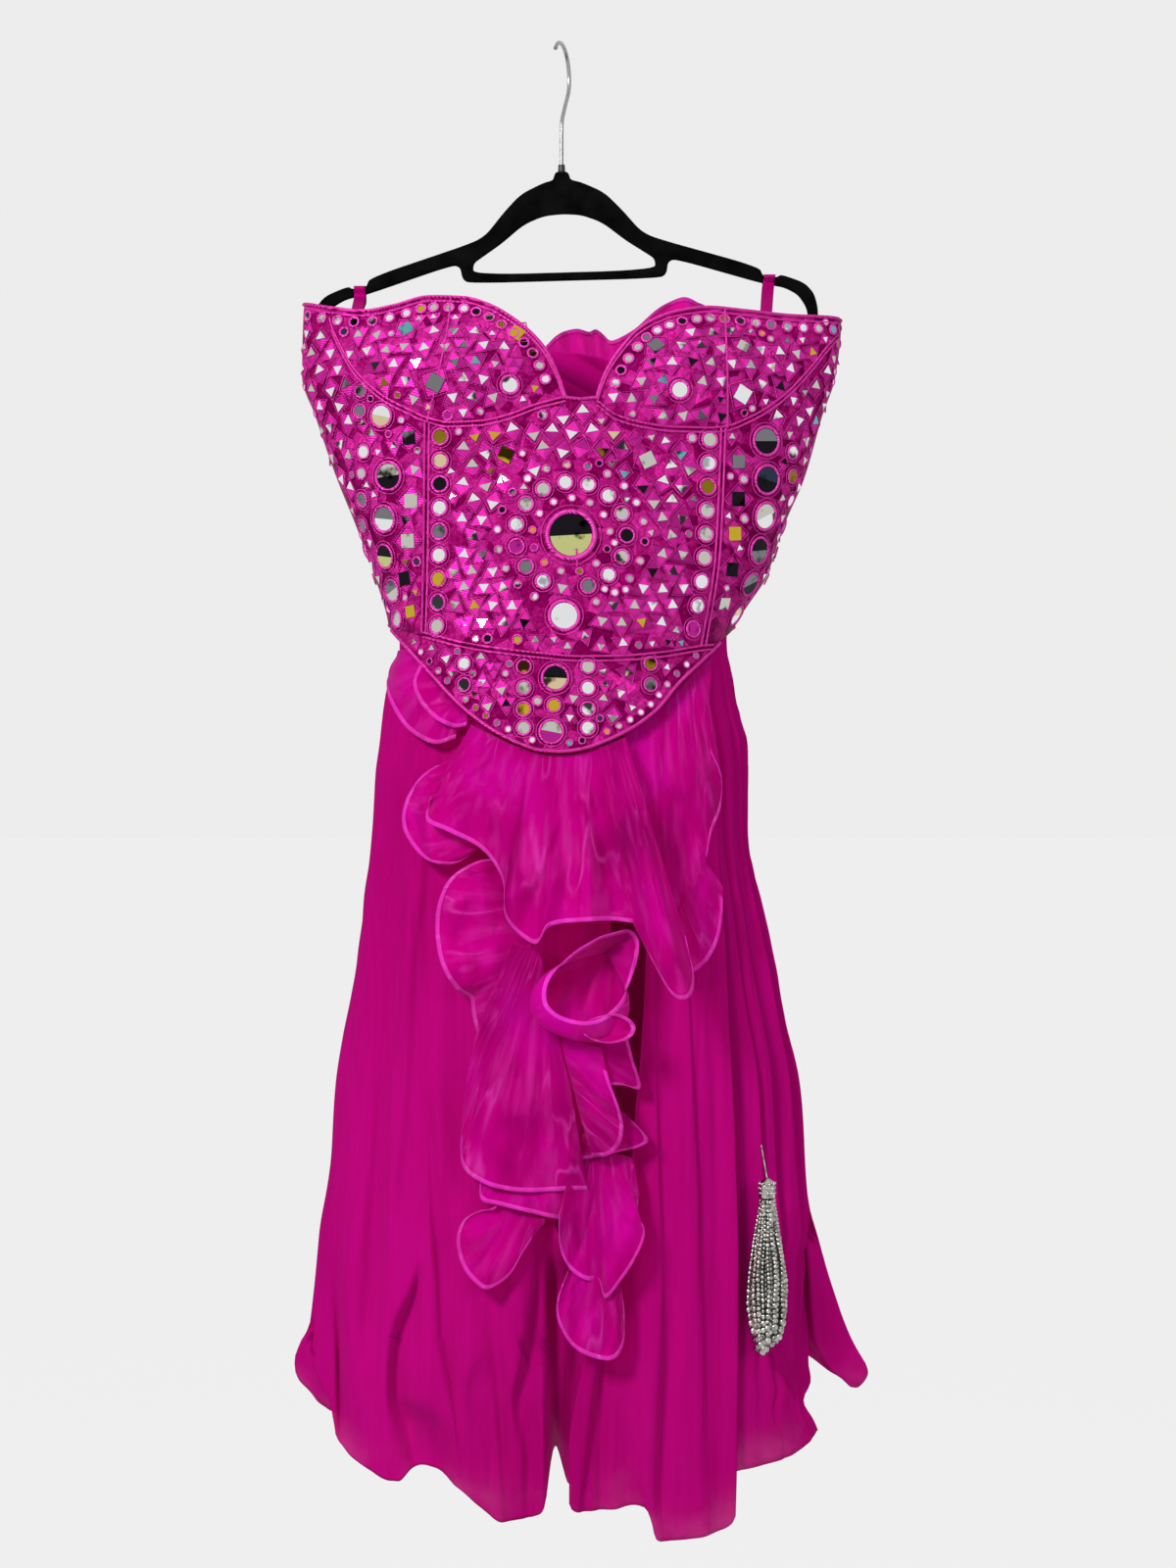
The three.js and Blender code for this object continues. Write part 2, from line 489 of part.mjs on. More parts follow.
/** A cup between its seam and the neckline, on the seam's own stations. */
function cup(seam, neckline) {
  const stations = seam.map((row) => row.x);
  const first = stations[0];
  const last = stations.at(-1);
  const grid = stations.map((station) => {
    const x = clamp(station, first + halfSeam, last - halfSeam);
    const bottom = read(seam, 'x', 'z', station) + halfSeam;
    const top = Math.max(read(neckline, 'x', 'z', station), bottom + 2);
    return steps(4).map((v) => bodiceAt(x, mix(bottom, top, v)));
  });
  return clothWall(grid, BODICE_WALL, bodiceInward);
}

/** Stations of the centre front: the inner stretch of both cup seams. */
const isCentral = (row) => row.x >= PRINCESS[0].left && row.x <= PRINCESS[0].right;
const CENTRE_TOP = [...CUP_SEAM_LEFT.filter(isCentral), ...CUP_SEAM_RIGHT.filter(isCentral)];
const centreShare = (row) => (row.x - CENTRE_TOP[0].x) / (CENTRE_TOP.at(-1).x - CENTRE_TOP[0].x);
const princessAt = (share, z) => mix(read(PRINCESS, 'z', 'left', z), read(PRINCESS, 'z', 'right', z), share);
const waistAt = (share) => {
  const x = princessAt(share, PRINCESS.at(-1).z);
  return { x, z: read(WAIST_SEAM, 'x', 'z', x) };
};

function centreFront() {
  const grid = CENTRE_TOP.map((row) => {
    const share = clamp(centreShare(row), 0.0012, 0.9988);
    const bottom = waistAt(share).z + halfSeam;
    return steps(6).map((v) => {
      const z = mix(row.z - halfSeam, bottom, v);
      return bodiceAt(princessAt(share, z), z);
    });
  });
  return clothWall(grid, BODICE_WALL, bodiceInward);
}

/** Rows of a side front: where it meets the cup, then the princess seam, and its height at the side. */
function sideRows(side) {
  const seam = side === 'left' ? CUP_SEAM_LEFT : [...CUP_SEAM_RIGHT].reverse();
  const limit = PRINCESS[0][side];
  const besideCup = seam.filter((row) => Math.abs(row.x) >= Math.abs(limit));
  const corner = seam[0];
  const neckline = side === 'left' ? NECKLINE_LEFT : NECKLINE_RIGHT;
  const cornerTop = read(neckline, 'x', 'z', corner.x);
  const top = { x: corner.x, z: cornerTop, sideZ: side === 'left' ? -216 : -229.2 };
  const fromTop = besideCup.map((row) => {
    const raised = smooth((row.z - CUP_SEAM_LEVEL) / 60);
    return { ...row, sideZ: row.z + (top.sideZ - cornerTop) * raised };
  });
  const start = besideCup.at(-1).z;
  const end = waistAt(side === 'left' ? 0 : 1).z + halfSeam;
  const belowCup = steps(6).slice(1).map((v) => {
    const z = mix(start, end, v);
    const rise = (SIDE_HEM[side] - end) * smooth((v - 0.5) * 2);
    return { x: princessAt(side === 'left' ? 0 : 1, z), z, sideZ: z + rise };
  });
  return [top, ...fromTop, ...belowCup];
}
function sidePoint(side, row, u) {
  const outward = side === 'left' ? -halfSeam : halfSeam;
  const edge = side === 'left' ? Math.PI : 0;
  const z = mix(row.z, row.sideZ, u);
  const start = bodiceAngle(row.x + outward, z);
  return bodiceAround(mix(start, edge, u), z);
}
function sideFront(side) {
  const grid = sideRows(side).map((row) => steps(5).map((u) => sidePoint(side, row, u)));
  return clothWall(grid, BODICE_WALL, bodiceInward);
}

/** The U-shaped band: its top follows the waist seam and the left side front, its bottom the hem. */
function hemBand() {
  const sideBottom = sideRows('left').at(-1);
  const underSide = [0.6, 0.4, 0.2].map((u) => sidePoint('left', sideBottom, u));
  const underCentre = CENTRE_TOP.map((row) => waistAt(centreShare(row)));
  const tops = [...underSide, ...underCentre, { x: 124, z: read(WAIST_SEAM, 'x', 'z', 124) }];
  const grid = tops.map((top) => {
    const bottom = read(HEM, 'x', 'z', top.x);
    const start = Math.max(top.z - SEAM - 2 * halfSeam, bottom + 1.5);
    return steps(4).map((v) => bodiceAt(top.x, mix(start, bottom, v)));
  });
  return clothWall(grid, BODICE_WALL, bodiceInward);
}

function backHalf(side) {
  const edge = side === 'left' ? Math.PI : 0;
  const turn = side === 'left' ? -1 : 1;
  const grid = steps(7).map((u) => {
    const angle = mix(edge + turn * 0.012, Math.PI / 2 - turn * 0.0012, u);
    const top = read(BACK_NECKLINE, 'x', 'z', bodiceBack(angle, -235).x);
    const bottom = mix(SIDE_HEM[side], BACK_HEM, smooth(u * 2));
    return steps(6).map((v) => bodiceBack(angle, mix(top, bottom, v)));
  });
  return clothWall(grid, BODICE_WALL, bodiceInward);
}

add('cup_left', cup(CUP_SEAM_LEFT, NECKLINE_LEFT), 'embroidery');
add('cup_right', cup(CUP_SEAM_RIGHT, NECKLINE_RIGHT), 'embroidery');
add('bodice_centre', centreFront(), 'embroidery');
add('bodice_side_left', sideFront('left'), 'embroidery');
add('bodice_side_right', sideFront('right'), 'embroidery');
add('bodice_hem_band', hemBand(), 'embroidery');
add('bodice_back_left', backHalf('left'), 'chiffon');
add('bodice_back_right', backHalf('right'), 'chiffon');

// ---- Skirt --------------------------------------------------------------------------------------
/** Moves a point towards the skirt's middle, as a fold does. */
function sink(point, depth) {
  const reach = Math.hypot(point.x, point.y);
  point.x *= 1 - depth / reach;
  point.y *= 1 - depth / reach;
  return point;
}
function foldDepth(folds, x, z) {
  return folds.reduce((sum, fold) => {
    const down = (z - SKIRT_TOP) / (-1200 - SKIRT_TOP);
    const middle = mix(fold.atTop, fold.atHem, down);
    const grown = smooth((z - fold.from) / (-1150 - fold.from));
    return sum + fold.depth * grown * Math.exp(-(((x - middle) / fold.width) ** 2));
  }, 0);
}

/** A front panel between two edges, with folds, down to an uneven hem. */
function frontPanel({ leftEdge, rightEdge, hem, folds, inside, across }) {
  const grid = steps(across).map((u) => {
    const atHem = mix(leftEdge(-1160), rightEdge(-1160), u);
    const bottom = read(hem, 'x', 'z', atHem);
    return SKIRT_RINGS.map((v) => {
      const z = mix(SKIRT_TOP, bottom, v);
      const angle = mix(skirtAngle(leftEdge(z), z), skirtAngle(rightEdge(z), z), u);
      const point = skirtAround(angle, z, inside(z));
      return sink(point, folds(point.x, z, u));
    });
  });
  return clothWall(grid, CHIFFON_WALL, gridInward);
}

const underLayer = (z) => {
  const grown = smooth((z - UNDER_LAYER.from) / (UNDER_LAYER.to - UNDER_LAYER.from));
  return mix(UNDER_LAYER.top, UNDER_LAYER.full, grown);
};
const sideInner = (z) => read(SIDE_RIGHT_INNER, 'z', 'x', z);
const sideOuter = (z) =>
  z > SIDE_RIGHT_OUTER[1].z ? read(SKIRT, 'z', 'right', z) - 0.05 : read(SIDE_RIGHT_OUTER, 'z', 'x', z);
function sidePleats(x, z, u) {
  const grown = smooth((z - SKIRT_TOP) / -160);
  const wave = 0.5 - 0.5 * Math.cos(2 * Math.PI * SIDE_PLEATS.count * u);
  return SIDE_PLEATS.depth * grown * wave * smooth(u * 8);
}

function backSkirt(side) {
  const edge = side === 'left' ? Math.PI : 0;
  const turn = side === 'left' ? -1 : 1;
  const grid = steps(16).map((u) => {
    const angle = mix(edge + turn * 0.008, Math.PI / 2 - turn * 0.0025, u);
    const width = (z) => [read(SKIRT, 'z', 'backLeft', z), read(SKIRT, 'z', 'backRight', z)];
    const bottom = read(HEM_BACK, 'x', 'z', ovalPoint(...width(-1110), 80, angle, 0).x);
    return SKIRT_RINGS.map((v) => {
      const z = mix(SKIRT_TOP, bottom, v);
      const point = ovalPoint(...width(z), read(SKIRT, 'z', 'back', z), angle, z);
      point.y *= -1;
      const grown = smooth((z - SKIRT_TOP) / -300);
      const wave = 0.5 - 0.5 * Math.cos(2 * Math.PI * BACK_FOLDS.count * u);
      return sink(point, BACK_FOLDS.depth * grown * wave);
    });
  });
  return clothWall(grid, CHIFFON_WALL, gridInward);
}

add('skirt_front_left', frontPanel({
  leftEdge: (z) => read(FRONT_LEFT_PANEL, 'z', 'side', z),
  rightEdge: (z) => read(FRONT_LEFT_PANEL, 'z', 'slit', z),
  hem: HEM_FRONT_LEFT, folds: (x, z) => foldDepth(FOLDS_FRONT_LEFT, x, z), inside: () => 0, across: 26,
}), 'chiffon');
add('skirt_front_right', frontPanel({
  leftEdge: (z) => read(FRONT_RIGHT_PANEL, 'z', 'slit', z),
  rightEdge: (z) => read(FRONT_RIGHT_PANEL, 'z', 'edge', z),
  hem: HEM_FRONT_RIGHT, folds: (x, z) => foldDepth(FOLDS_FRONT_RIGHT, x, z), inside: () => 0, across: 16,
}), 'chiffon');
add('skirt_side_right', frontPanel({
  leftEdge: sideInner, rightEdge: sideOuter,
  hem: HEM_SIDE_RIGHT, folds: sidePleats, inside: underLayer, across: 24,
}), 'chiffon');
add('skirt_back_left', backSkirt('left'), 'chiffon');
add('skirt_back_right', backSkirt('right'), 'chiffon');

// ---- Ruffles ------------------------------------------------------------------------------------
const FRONT_TO_BACK = new THREE.Vector3(0, 1, 0);
const backward = () => FRONT_TO_BACK;

/** Smooth lines through a fan's seam and through its edge, in x, lift and z. */
function fanLines(rows, seamLift) {
  const seam = rows.map((row) => new THREE.Vector3(row.seamX, seamLift, row.seamZ));
  const edge = rows.map((row) => new THREE.Vector3(row.edgeX, row.lift, row.edgeZ));
  return [new THREE.CatmullRomCurve3(seam), new THREE.CatmullRomCurve3(edge)];
}
function fan({ rows, seamLift, crown }) {
  const [seam, edge] = fanLines(rows, seamLift);
  const grid = steps(rows.length + 2).map((u) => {
    const from = seam.getPoint(u);
    const to = edge.getPoint(u);
    return steps(3).map((v) => {
      const at = new THREE.Vector3().lerpVectors(from, to, v);
      const lift = at.y + crown * 4 * v * (1 - v);
      return new THREE.Vector3(at.x, skirtAt(at.x, at.z).y - lift, at.z);
    });
  });
  return clothWall(grid, ORGANZA_WALL, backward);
}
for (const [name, ruffle] of Object.entries(RUFFLES)) add(name, fan(ruffle), 'organza');

function backRuffle() {
  const [seam, edge] = fanLines(BACK_RUFFLE, 0.5);
  const level = BACK_RUFFLE[0].seamZ;
  const grid = steps(18).map((u) => {
    const from = seam.getPoint(u);
    const to = edge.getPoint(u);
    return steps(3).map((v) => {
      const at = new THREE.Vector3().lerpVectors(from, to, v);
      return new THREE.Vector3(at.x, bodiceBack(bodiceAngle(at.x, level), level).y + at.y, at.z);
    });
  });
  return clothWall(grid, ORGANZA_WALL, backward);
}
function backDrape() {
  const first = BACK_DRAPE[0].x;
  const last = BACK_DRAPE.at(-1).x;
  const grid = steps(10).map((u) => {
    const x = mix(first, last, u);
    return steps(4).map((v) => {
      const z = mix(read(BACK_DRAPE, 'x', 'top', x), read(BACK_DRAPE, 'x', 'bottom', x), v);
      const back = bodiceBack(bodiceAngle(x, z), z).y;
      return new THREE.Vector3(x, back - BODICE_WALL - 1.1 - CHIFFON_WALL, z);
    });
  });
  return clothWall(grid, CHIFFON_WALL, backward);
}
add('back_ruffle', backRuffle(), 'organza');
add('back_drape', backDrape(), 'chiffon');

// ---- Ribbon loops -------------------------------------------------------------------------------
/** A ribbon that goes up from the neckline, over the hanger's arm and back down inside the front. */
function hangingLoop({ notchX, notchZ, sewnX, sewnZ, neckZ }) {
  const lining = (z) => Math.max(...[-0.5, 0.5].map((side) => {
    const face = bodiceAt(sewnX + side * RIBBON_WIDTH, z);
    return face.addScaledVector(bodiceInward(face), BODICE_WALL).y;
  })) + 1.4;
  const reach = HANGER_DEPTH / 2 + RIBBON_WALL + 0.8;
  const path = new THREE.CatmullRomCurve3([
    [lining(sewnZ), sewnZ], [lining(sewnZ + 8) + 0.3, sewnZ + 8], [lining(neckZ), neckZ],
    [-reach - 0.4, notchZ - 9], [-reach, notchZ - 1], [0, notchZ + RIBBON_WALL + 1.4], [reach, notchZ - 1],
    [reach + 0.6, notchZ - 11], [lining(neckZ) + 7, neckZ], [lining(sewnZ) + 3, sewnZ + 1],
  ].map(([y, z]) => new THREE.Vector3(0, y, z)));
  const grid = steps(22).map((v) => {
    const at = path.getPoint(v);
    const lean = mix(sewnX, notchX, clamp((at.z - sewnZ) / (notchZ - sewnZ), 0, 1));
    return [-0.5, 0.5].map((side) => new THREE.Vector3(lean + side * RIBBON_WIDTH, at.y, at.z));
  });
  const underside = (point, j) => {
    const along = path.getTangent(j / 22);
    return new THREE.Vector3(0, along.z, -along.y);
  };
  return clothWall(grid, RIBBON_WALL, underside);
}
add('hanging_loop_left', hangingLoop(LOOPS.left), 'ribbon');
add('hanging_loop_right', hangingLoop(LOOPS.right), 'ribbon');

// ---- Hanger and hook ----------------------------------------------------------------------------
function hangerBody() {
  const half = [...HANGER_TOP_EDGE, ...HANGER_UNDERSIDE];
  const mirrored = (rows) => rows.map(({ x, z }) => new THREE.Vector2(-x, z - NUB_TOP)).reverse();
  const straight = (rows) => rows.map(({ x, z }) => new THREE.Vector2(x, z - NUB_TOP));
  const outline = new THREE.Shape([...straight(half), ...mirrored(half)]);
  const crest = new THREE.Vector2(0, WINDOW_TOP - NUB_TOP);
  outline.holes.push(new THREE.Path([...straight(HANGER_WINDOW), crest, ...mirrored(HANGER_WINDOW)]));
  const bevel = 1;
  const geometry = new THREE.ExtrudeGeometry(outline, {
    depth: HANGER_DEPTH - 2 * bevel, bevelEnabled: true, bevelThickness: bevel, bevelSize: bevel,
    bevelOffset: -bevel, bevelSegments: 1,
  });
  geometry.translate(0, 0, bevel - HANGER_DEPTH / 2);
  return geometry.rotateX(Math.PI / 2);
}
function hookWire() {
  const turn = THREE.MathUtils.degToRad(HOOK_TURN);
  const centre = WIRE_RADIUS - HOOK_RADIUS;
  const inPlane = (s, z) => new THREE.Vector3(s * Math.cos(turn), s * Math.sin(turn), z);
  const stem = [[0, NUB_TOP + SEAM], ...HOOK_STEM].map(([s, z]) => inPlane(s, z));
  const bend = steps(12).map((share) => {
    const angle = THREE.MathUtils.degToRad(mix(HOOK_ARC.from, HOOK_ARC.to, share));
    return inPlane(HOOK_RADIUS * Math.cos(angle), centre + HOOK_RADIUS * Math.sin(angle));
  });
  const path = new THREE.CatmullRomCurve3([...stem, ...bend]);
  const section = wireSection(WIRE_RADIUS, 10);
  return new THREE.ExtrudeGeometry(section, { steps: 44, extrudePath: path, bevelEnabled: false });
}
function ferrule() {
  const bore = WIRE_RADIUS + SEAM;
  const low = NUB_TOP + SEAM;
  const high = low + FERRULE.length;
  return lathe([[bore, low], [FERRULE.foot, low], [FERRULE.top, high], [bore, high], [bore, low]], 16);
}
const hanger = new THREE.Group();
hanger.position.z = NUB_TOP;
hanger.rotation.y = -THREE.MathUtils.degToRad(HANGER_TILT);
dress.add(hanger);
add('hanger_body', hangerBody(), 'flock', hanger);
add('hook', hookWire(), 'steel');
add('hook_ferrule', ferrule(), 'flock');

// ---- Tassel -------------------------------------------------------------------------------------
/** A crest of the pleated side panel, counted from its inner edge. */
function pleatCrest(crest, z) {
  const [from, to] = [skirtAngle(sideInner(z), z), skirtAngle(sideOuter(z), z)];
  return skirtAround(mix(from, to, crest / SIDE_PLEATS.count), z, underLayer(z));
}
const tasselY = pleatCrest(2, TASSEL.z - TASSEL.length * 0.7).y - TASSEL.radius * 0.95;
function turned(profile) {
  return lathe(profile, 14).translate(TASSEL.x, tasselY, TASSEL.z);
}
function beadStrands() {
  const { radius, capRadius, capLength, length } = TASSEL;
  const top = -capLength - SEAM;
  return turned([[0, -length], [radius * 0.8, -length * 0.94], [radius, -length * 0.78],
    [radius * 0.72, -length * 0.4], [capRadius, top], [0, top]]);
}
function beadCap() {
  const { capRadius, capLength } = TASSEL;
  return turned([[0, -capLength], [capRadius, -capLength], [capRadius, -capLength * 0.45],
    [capRadius * 0.5, -1], [0, 0]]);
}
/** The short sewn loop that carries the tassel, from the side panel out to the cap. */
function tasselLoop() {
  const sewn = pleatCrest(2, TASSEL.z + 24);
  const path = new THREE.CatmullRomCurve3([
    new THREE.Vector3(sewn.x, sewn.y - 1.4, sewn.z),
    new THREE.Vector3(sewn.x, sewn.y - 5, sewn.z - 8),
    new THREE.Vector3(TASSEL.x, tasselY + 3, TASSEL.z + 14),
    new THREE.Vector3(TASSEL.x, tasselY, TASSEL.z + 0.4),
  ]);
  const section = wireSection(TASSEL.loopRadius, 6);
  return new THREE.ExtrudeGeometry(section, { steps: 10, extrudePath: path, bevelEnabled: false });
}
add('tassel_cap', beadCap(), 'beads');
add('tassel_beads', beadStrands(), 'beads');
add('tassel_loop', tasselLoop(), 'beads');

export default dress;
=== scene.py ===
"""Draped evening dress on a flocked hanger: its cloth, mirror work, ruffles, bead tassel and trim."""

import math
import random

import bmesh
import bpy
import numpy as np
from mathutils import Matrix, Vector


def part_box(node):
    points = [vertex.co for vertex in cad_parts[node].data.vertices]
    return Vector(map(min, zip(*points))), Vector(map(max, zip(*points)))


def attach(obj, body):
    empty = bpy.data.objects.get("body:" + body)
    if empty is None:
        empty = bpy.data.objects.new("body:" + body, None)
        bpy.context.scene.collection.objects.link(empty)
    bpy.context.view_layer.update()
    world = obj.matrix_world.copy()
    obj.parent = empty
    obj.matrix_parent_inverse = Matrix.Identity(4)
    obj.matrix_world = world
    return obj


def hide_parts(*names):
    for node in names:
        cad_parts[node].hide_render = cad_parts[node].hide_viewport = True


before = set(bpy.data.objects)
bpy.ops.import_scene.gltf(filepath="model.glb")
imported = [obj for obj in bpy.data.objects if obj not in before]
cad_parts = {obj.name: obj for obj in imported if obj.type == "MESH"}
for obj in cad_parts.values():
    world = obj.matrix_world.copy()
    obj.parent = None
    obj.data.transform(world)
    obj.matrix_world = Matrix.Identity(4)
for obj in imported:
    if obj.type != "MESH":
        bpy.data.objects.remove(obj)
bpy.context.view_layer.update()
MM = 0.001
handwork = random.Random(11)


def add(name, data):
    """Adds an object to the scene."""
    made = bpy.data.objects.new(name, data)
    bpy.context.collection.objects.link(made)
    return made


# ---- Camera, light and room ---------------------------------------------------------------------
camera_data = bpy.data.cameras.new("camera")
camera_data.sensor_fit = "VERTICAL"
camera_data.sensor_height = 36
camera_data.lens = 54.88
camera = add("camera", camera_data)
camera.location = (0.0221, -2.0, -0.6175)
camera.rotation_euler = (math.radians(90), 0, 0)
scene = bpy.context.scene
scene.camera = camera
scene.view_settings.view_transform = "Standard"


def soft_light(name, place, aim, size, power, mirrored=False):
    light = bpy.data.lights.new(name, "AREA")
    light.shape = "DISK"
    light.size = size
    light.energy = power
    lamp = add(name, light)
    lamp.location = place
    lamp.rotation_euler = (Vector(aim) - Vector(place)).to_track_quat("-Z", "Y").to_euler()
    lamp.visible_glossy = mirrored


soft_light("key_light", (-1.5, -2.1, 0.9), (0, 0, -0.6), 0.8, 76, mirrored=True)
soft_light("fill_light", (1.8, -2.0, 0.1), (0, 0, -0.7), 1.4, 17)
soft_light("back_light", (0.9, 2.0, 0.9), (0, 0, -0.6), 1.4, 34)

PAPER = (0.843, 0.843, 0.843)
ROOM_SHARE = 0.5  # how much of its own brightness the room sheds on the cloth


def supply(tree, socket, value):
    """Gives an input a plain value, or links it to another node's output."""
    if isinstance(value, bpy.types.NodeSocket):
        tree.links.new(value, socket)
    else:
        socket.default_value = value


def feed(tree, fed, **values):
    """Supplies the named inputs of a node."""
    for key, value in values.items():
        supply(tree, fed.inputs[key.replace("_", " ")], value)


def node(tree, kind, **settings):
    """A shader node: each setting is one of its properties or is fed to one of its inputs."""
    made = tree.nodes.new(kind)
    for key, value in settings.items():
        if hasattr(made, key):
            setattr(made, key, value)
        else:
            feed(tree, made, **{key: value})
    return made


def room_strength(tree):
    """The room looks evenly bright, and sheds only a share of that on matt surfaces."""
    path = node(tree, "ShaderNodeLightPath")
    dim = node(tree, "ShaderNodeMapRange", To_Min=1, To_Max=ROOM_SHARE, Value=path.outputs["Is Diffuse Ray"])
    return dim.outputs["Result"]


world = bpy.data.worlds.new("room")
world.use_nodes = True
sky = world.node_tree
feed(sky, sky.nodes["Background"], Color=(*PAPER, 1), Strength=room_strength(sky))
scene.world = world

# ---- Tables: the dress's measures in millimetres ------------------------------------------------
# Rows are (x, height) unless a comment says otherwise.
# Bodice sections: height, left and right side, depth in front and behind.
BODICE = [
    (-205, -214, 233, 40, 34), (-228, -216, 234, 52, 42), (-277, -217, 229, 66, 50),
    (-310, -206, 218, 74, 54), (-362, -188, 203, 79, 60), (-404, -171, 185, 82, 64),
    (-445, -156, 171, 85, 68), (-468, -148.5, 156, 87, 70), (-482, -145, 146.5, 88.2, 71),
    (-495, -143.5, 142, 90.5, 72), (-545, -142, 141, 97, 74), (-600, -142, 141, 105, 76),
]
# Swells and dents of the front: middle (x and height), half width, half height and how far it stands out.
CUPS = [(-95, -277, 98, 52, 12), (118, -282, 98, 52, 12), (-62, -366, 50, 28, -6), (84, -362, 46, 28, -6)]
NECKLINE_LEFT = [
    (-215.5, -216), (-192, -223), (-160, -228), (-137, -224.5), (-108, -217.5), (-79, -219),
    (-59, -225.5), (-36, -240), (-15, -261), (-4, -282), (4, -304.5),
]
NECKLINE_RIGHT = [
    (29, -306), (32, -295.5), (39, -279), (51, -261), (64, -246.5), (80, -236.5), (97, -230.5),
    (122, -227), (150, -229), (190, -231.5), (230, -229.5),
]
NOTCH_Z, NOTCH_LEFT, NOTCH_MIDDLE, NOTCH_RIGHT = -307, 4, 16, 29
CUP_SEAM_LEFT = [
    (-192, -231), (-188, -244), (-180, -261), (-171, -277), (-159, -291), (-143, -304.5),
    (-126, -314), (-108, -322.5), (-90, -327), (-66, -326.5), (-43, -322), (-20, -313.5),
    (NOTCH_LEFT, NOTCH_Z),
]
CUP_SEAM_RIGHT = [
    (29, -310), (45, -322), (69, -328.5), (92, -331), (116, -331), (132, -329.5), (156, -319.5),
    (180, -303), (205, -276.5), (219, -258), (230, -244.5),
]
PRINCESS = [(-322, -108, 132), (-430, -109, 127), (-508, -111, 115)]  # height, left seam, right seam
WAIST_SEAM = [
    (-111, -496.5), (-75, -506.5), (-45, -511.5), (-15, -515), (14, -517.5), (45, -517),
    (81, -513.5), (115, -507), (125, -505.5),
]
HEM = [
    (-144, -487), (-124, -508.5), (-107, -527), (-75, -559.5), (-45, -580), (-15, -591.5),
    (0, -592.5), (14, -591), (45, -580), (75, -560.5), (96, -536), (112, -520.5), (128, -504.5),
    (142, -490),
]
SIDE_HEM = {"left": -484.5, "right": -486}
SIDE_TOP = {"left": -216, "right": -229.2}
BACK_NECKLINE = [(-216, -216.5), (-120, -243), (8, -262), (130, -250), (234, -229.5)]
BACK_HEM = -500

# Skirt sections: height, front layer's sides, back layer's sides, depth in front and behind.
SKIRT = [
    (-474, -142, 146, -142, 146, 84.3, 67.1), (-495, -136.5, 139, -136.5, 139, 81, 66),
    (-508, -136.5, 139.5, -136.5, 139.5, 81, 67.5), (-524, -142.5, 143.5, -142.5, 143.5, 82, 71),
    (-546, -148.5, 147, -148.5, 147, 83.5, 74), (-580, -152.5, 156.5, -152.5, 156.5, 86, 78),
    (-607, -156, 159, -156, 159, 88.5, 80), (-650, -157.5, 159, -157.5, 159, 91, 82),
    (-727, -168, 173, -168, 173, 93, 84), (-799, -180, 187, -180, 187, 94, 85),
    (-863, -189.5, 201, -189.5, 201, 94, 86), (-928, -195, 205, -195, 205.5, 94, 86),
    (-994, -204, 211, -204, 213.5, 93, 85), (-1054, -207.5, 213, -207.5, 231, 92, 84),
    (-1066, -208.5, 213.5, -209, 235.5, 91.7, 83.3), (-1080, -210, 214, -216, 241.5, 91.3, 82.5),
    (-1096, -211, 214.5, -221, 250.5, 90.8, 81), (-1110, -211.5, 215, -219.5, 258.5, 90.5, 80),
    (-1125, -212, 215.5, -213, 258, 90, 80),
    (-1230, -212, 218, -205, 252, 88, 80),
]
SKIRT_TOP = -474
FRONT_LEFT_PANEL = [  # height, side edge, slit edge
    (-474, -142, 42), (-760, -173.4, 42), (-895, -191.5, 39), (-935, -197, 24), (-965, -201, -4),
    (-1000, -204.5, 8), (-1060, -208.3, 28), (-1100, -203, 34), (-1130, -191.5, 34),
    (-1160, -185, 34), (-1210, -180, 34),
]
FRONT_RIGHT_PANEL = [  # height, slit edge, free edge
    (-474, 46, 98), (-620, 62, 124), (-743, 70, 134), (-920, 61, 142), (-1010, 42, 143),
    (-1086, 18, 143), (-1150, 7, 143), (-1230, 7, 142),
]
# The side panel's edges: height and x.
SIDE_RIGHT_INNER = [(-474, 84), (-700, 104), (-1230, 112)]
SIDE_RIGHT_OUTER = [(-474, 146), (-990, 210.5), (-1095, 207), (-1112, 209), (-1127, 206.5), (-1154, 213)]
HEM_FRONT_LEFT = [
    (-192, -1128), (-187, -1144), (-181, -1156), (-173, -1165), (-153, -1175), (-138, -1180), (-131, -1180),
    (-120, -1171), (-113, -1169), (-102, -1171.5), (-83, -1182.5), (-67, -1197), (-45, -1209.5), (-28, -1208),
    (-18, -1204), (-12, -1196), (-9.5, -1178), (-7, -1159), (-4, -1153), (0, -1164), (6, -1184), (24, -1190),
]
HEM_FRONT_RIGHT = [
    (7, -1193), (10, -1199), (16, -1201), (41, -1200), (62, -1197), (70, -1208), (78, -1224),
    (84, -1225.5), (111, -1224), (132, -1219), (139, -1214), (143, -1204),
]
HEM_SIDE_RIGHT = [
    (112, -1178), (143, -1174), (164, -1171.5), (187, -1168), (204, -1161), (210, -1156), (214, -1150),
]
HEM_BACK = [
    (-222, -1105), (-220, -1112), (-216.4, -1118), (-210.7, -1127.8), (-203.4, -1132.5), (-196, -1136.6),
    (-185, -1139), (-120, -1140), (0, -1128), (120, -1112), (211, -1103), (224, -1101), (229.7, -1105.7),
    (236, -1112), (241, -1116.5), (246, -1117.5), (251, -1114.7), (255, -1110), (258, -1104), (260, -1099),
]
# Where the back hem swings forward past the front at each side: height and x.
SWINGS = {
    "left": [(-1040, -212), (-1075, -206), (-1100, -200), (-1140, -186)],
    "right": [(-975, 202), (-1073, 208), (-1106, 225), (-1130, 232)],
}
SWING_TOP = {"left": -1040, "right": -972}
SWUNG_Y = -28  # how far forward those corners hang
SIDE_SEAMS = {"left": (np.pi, -1), "right": (0.0, 1)}  # angle round the body, and which way along x


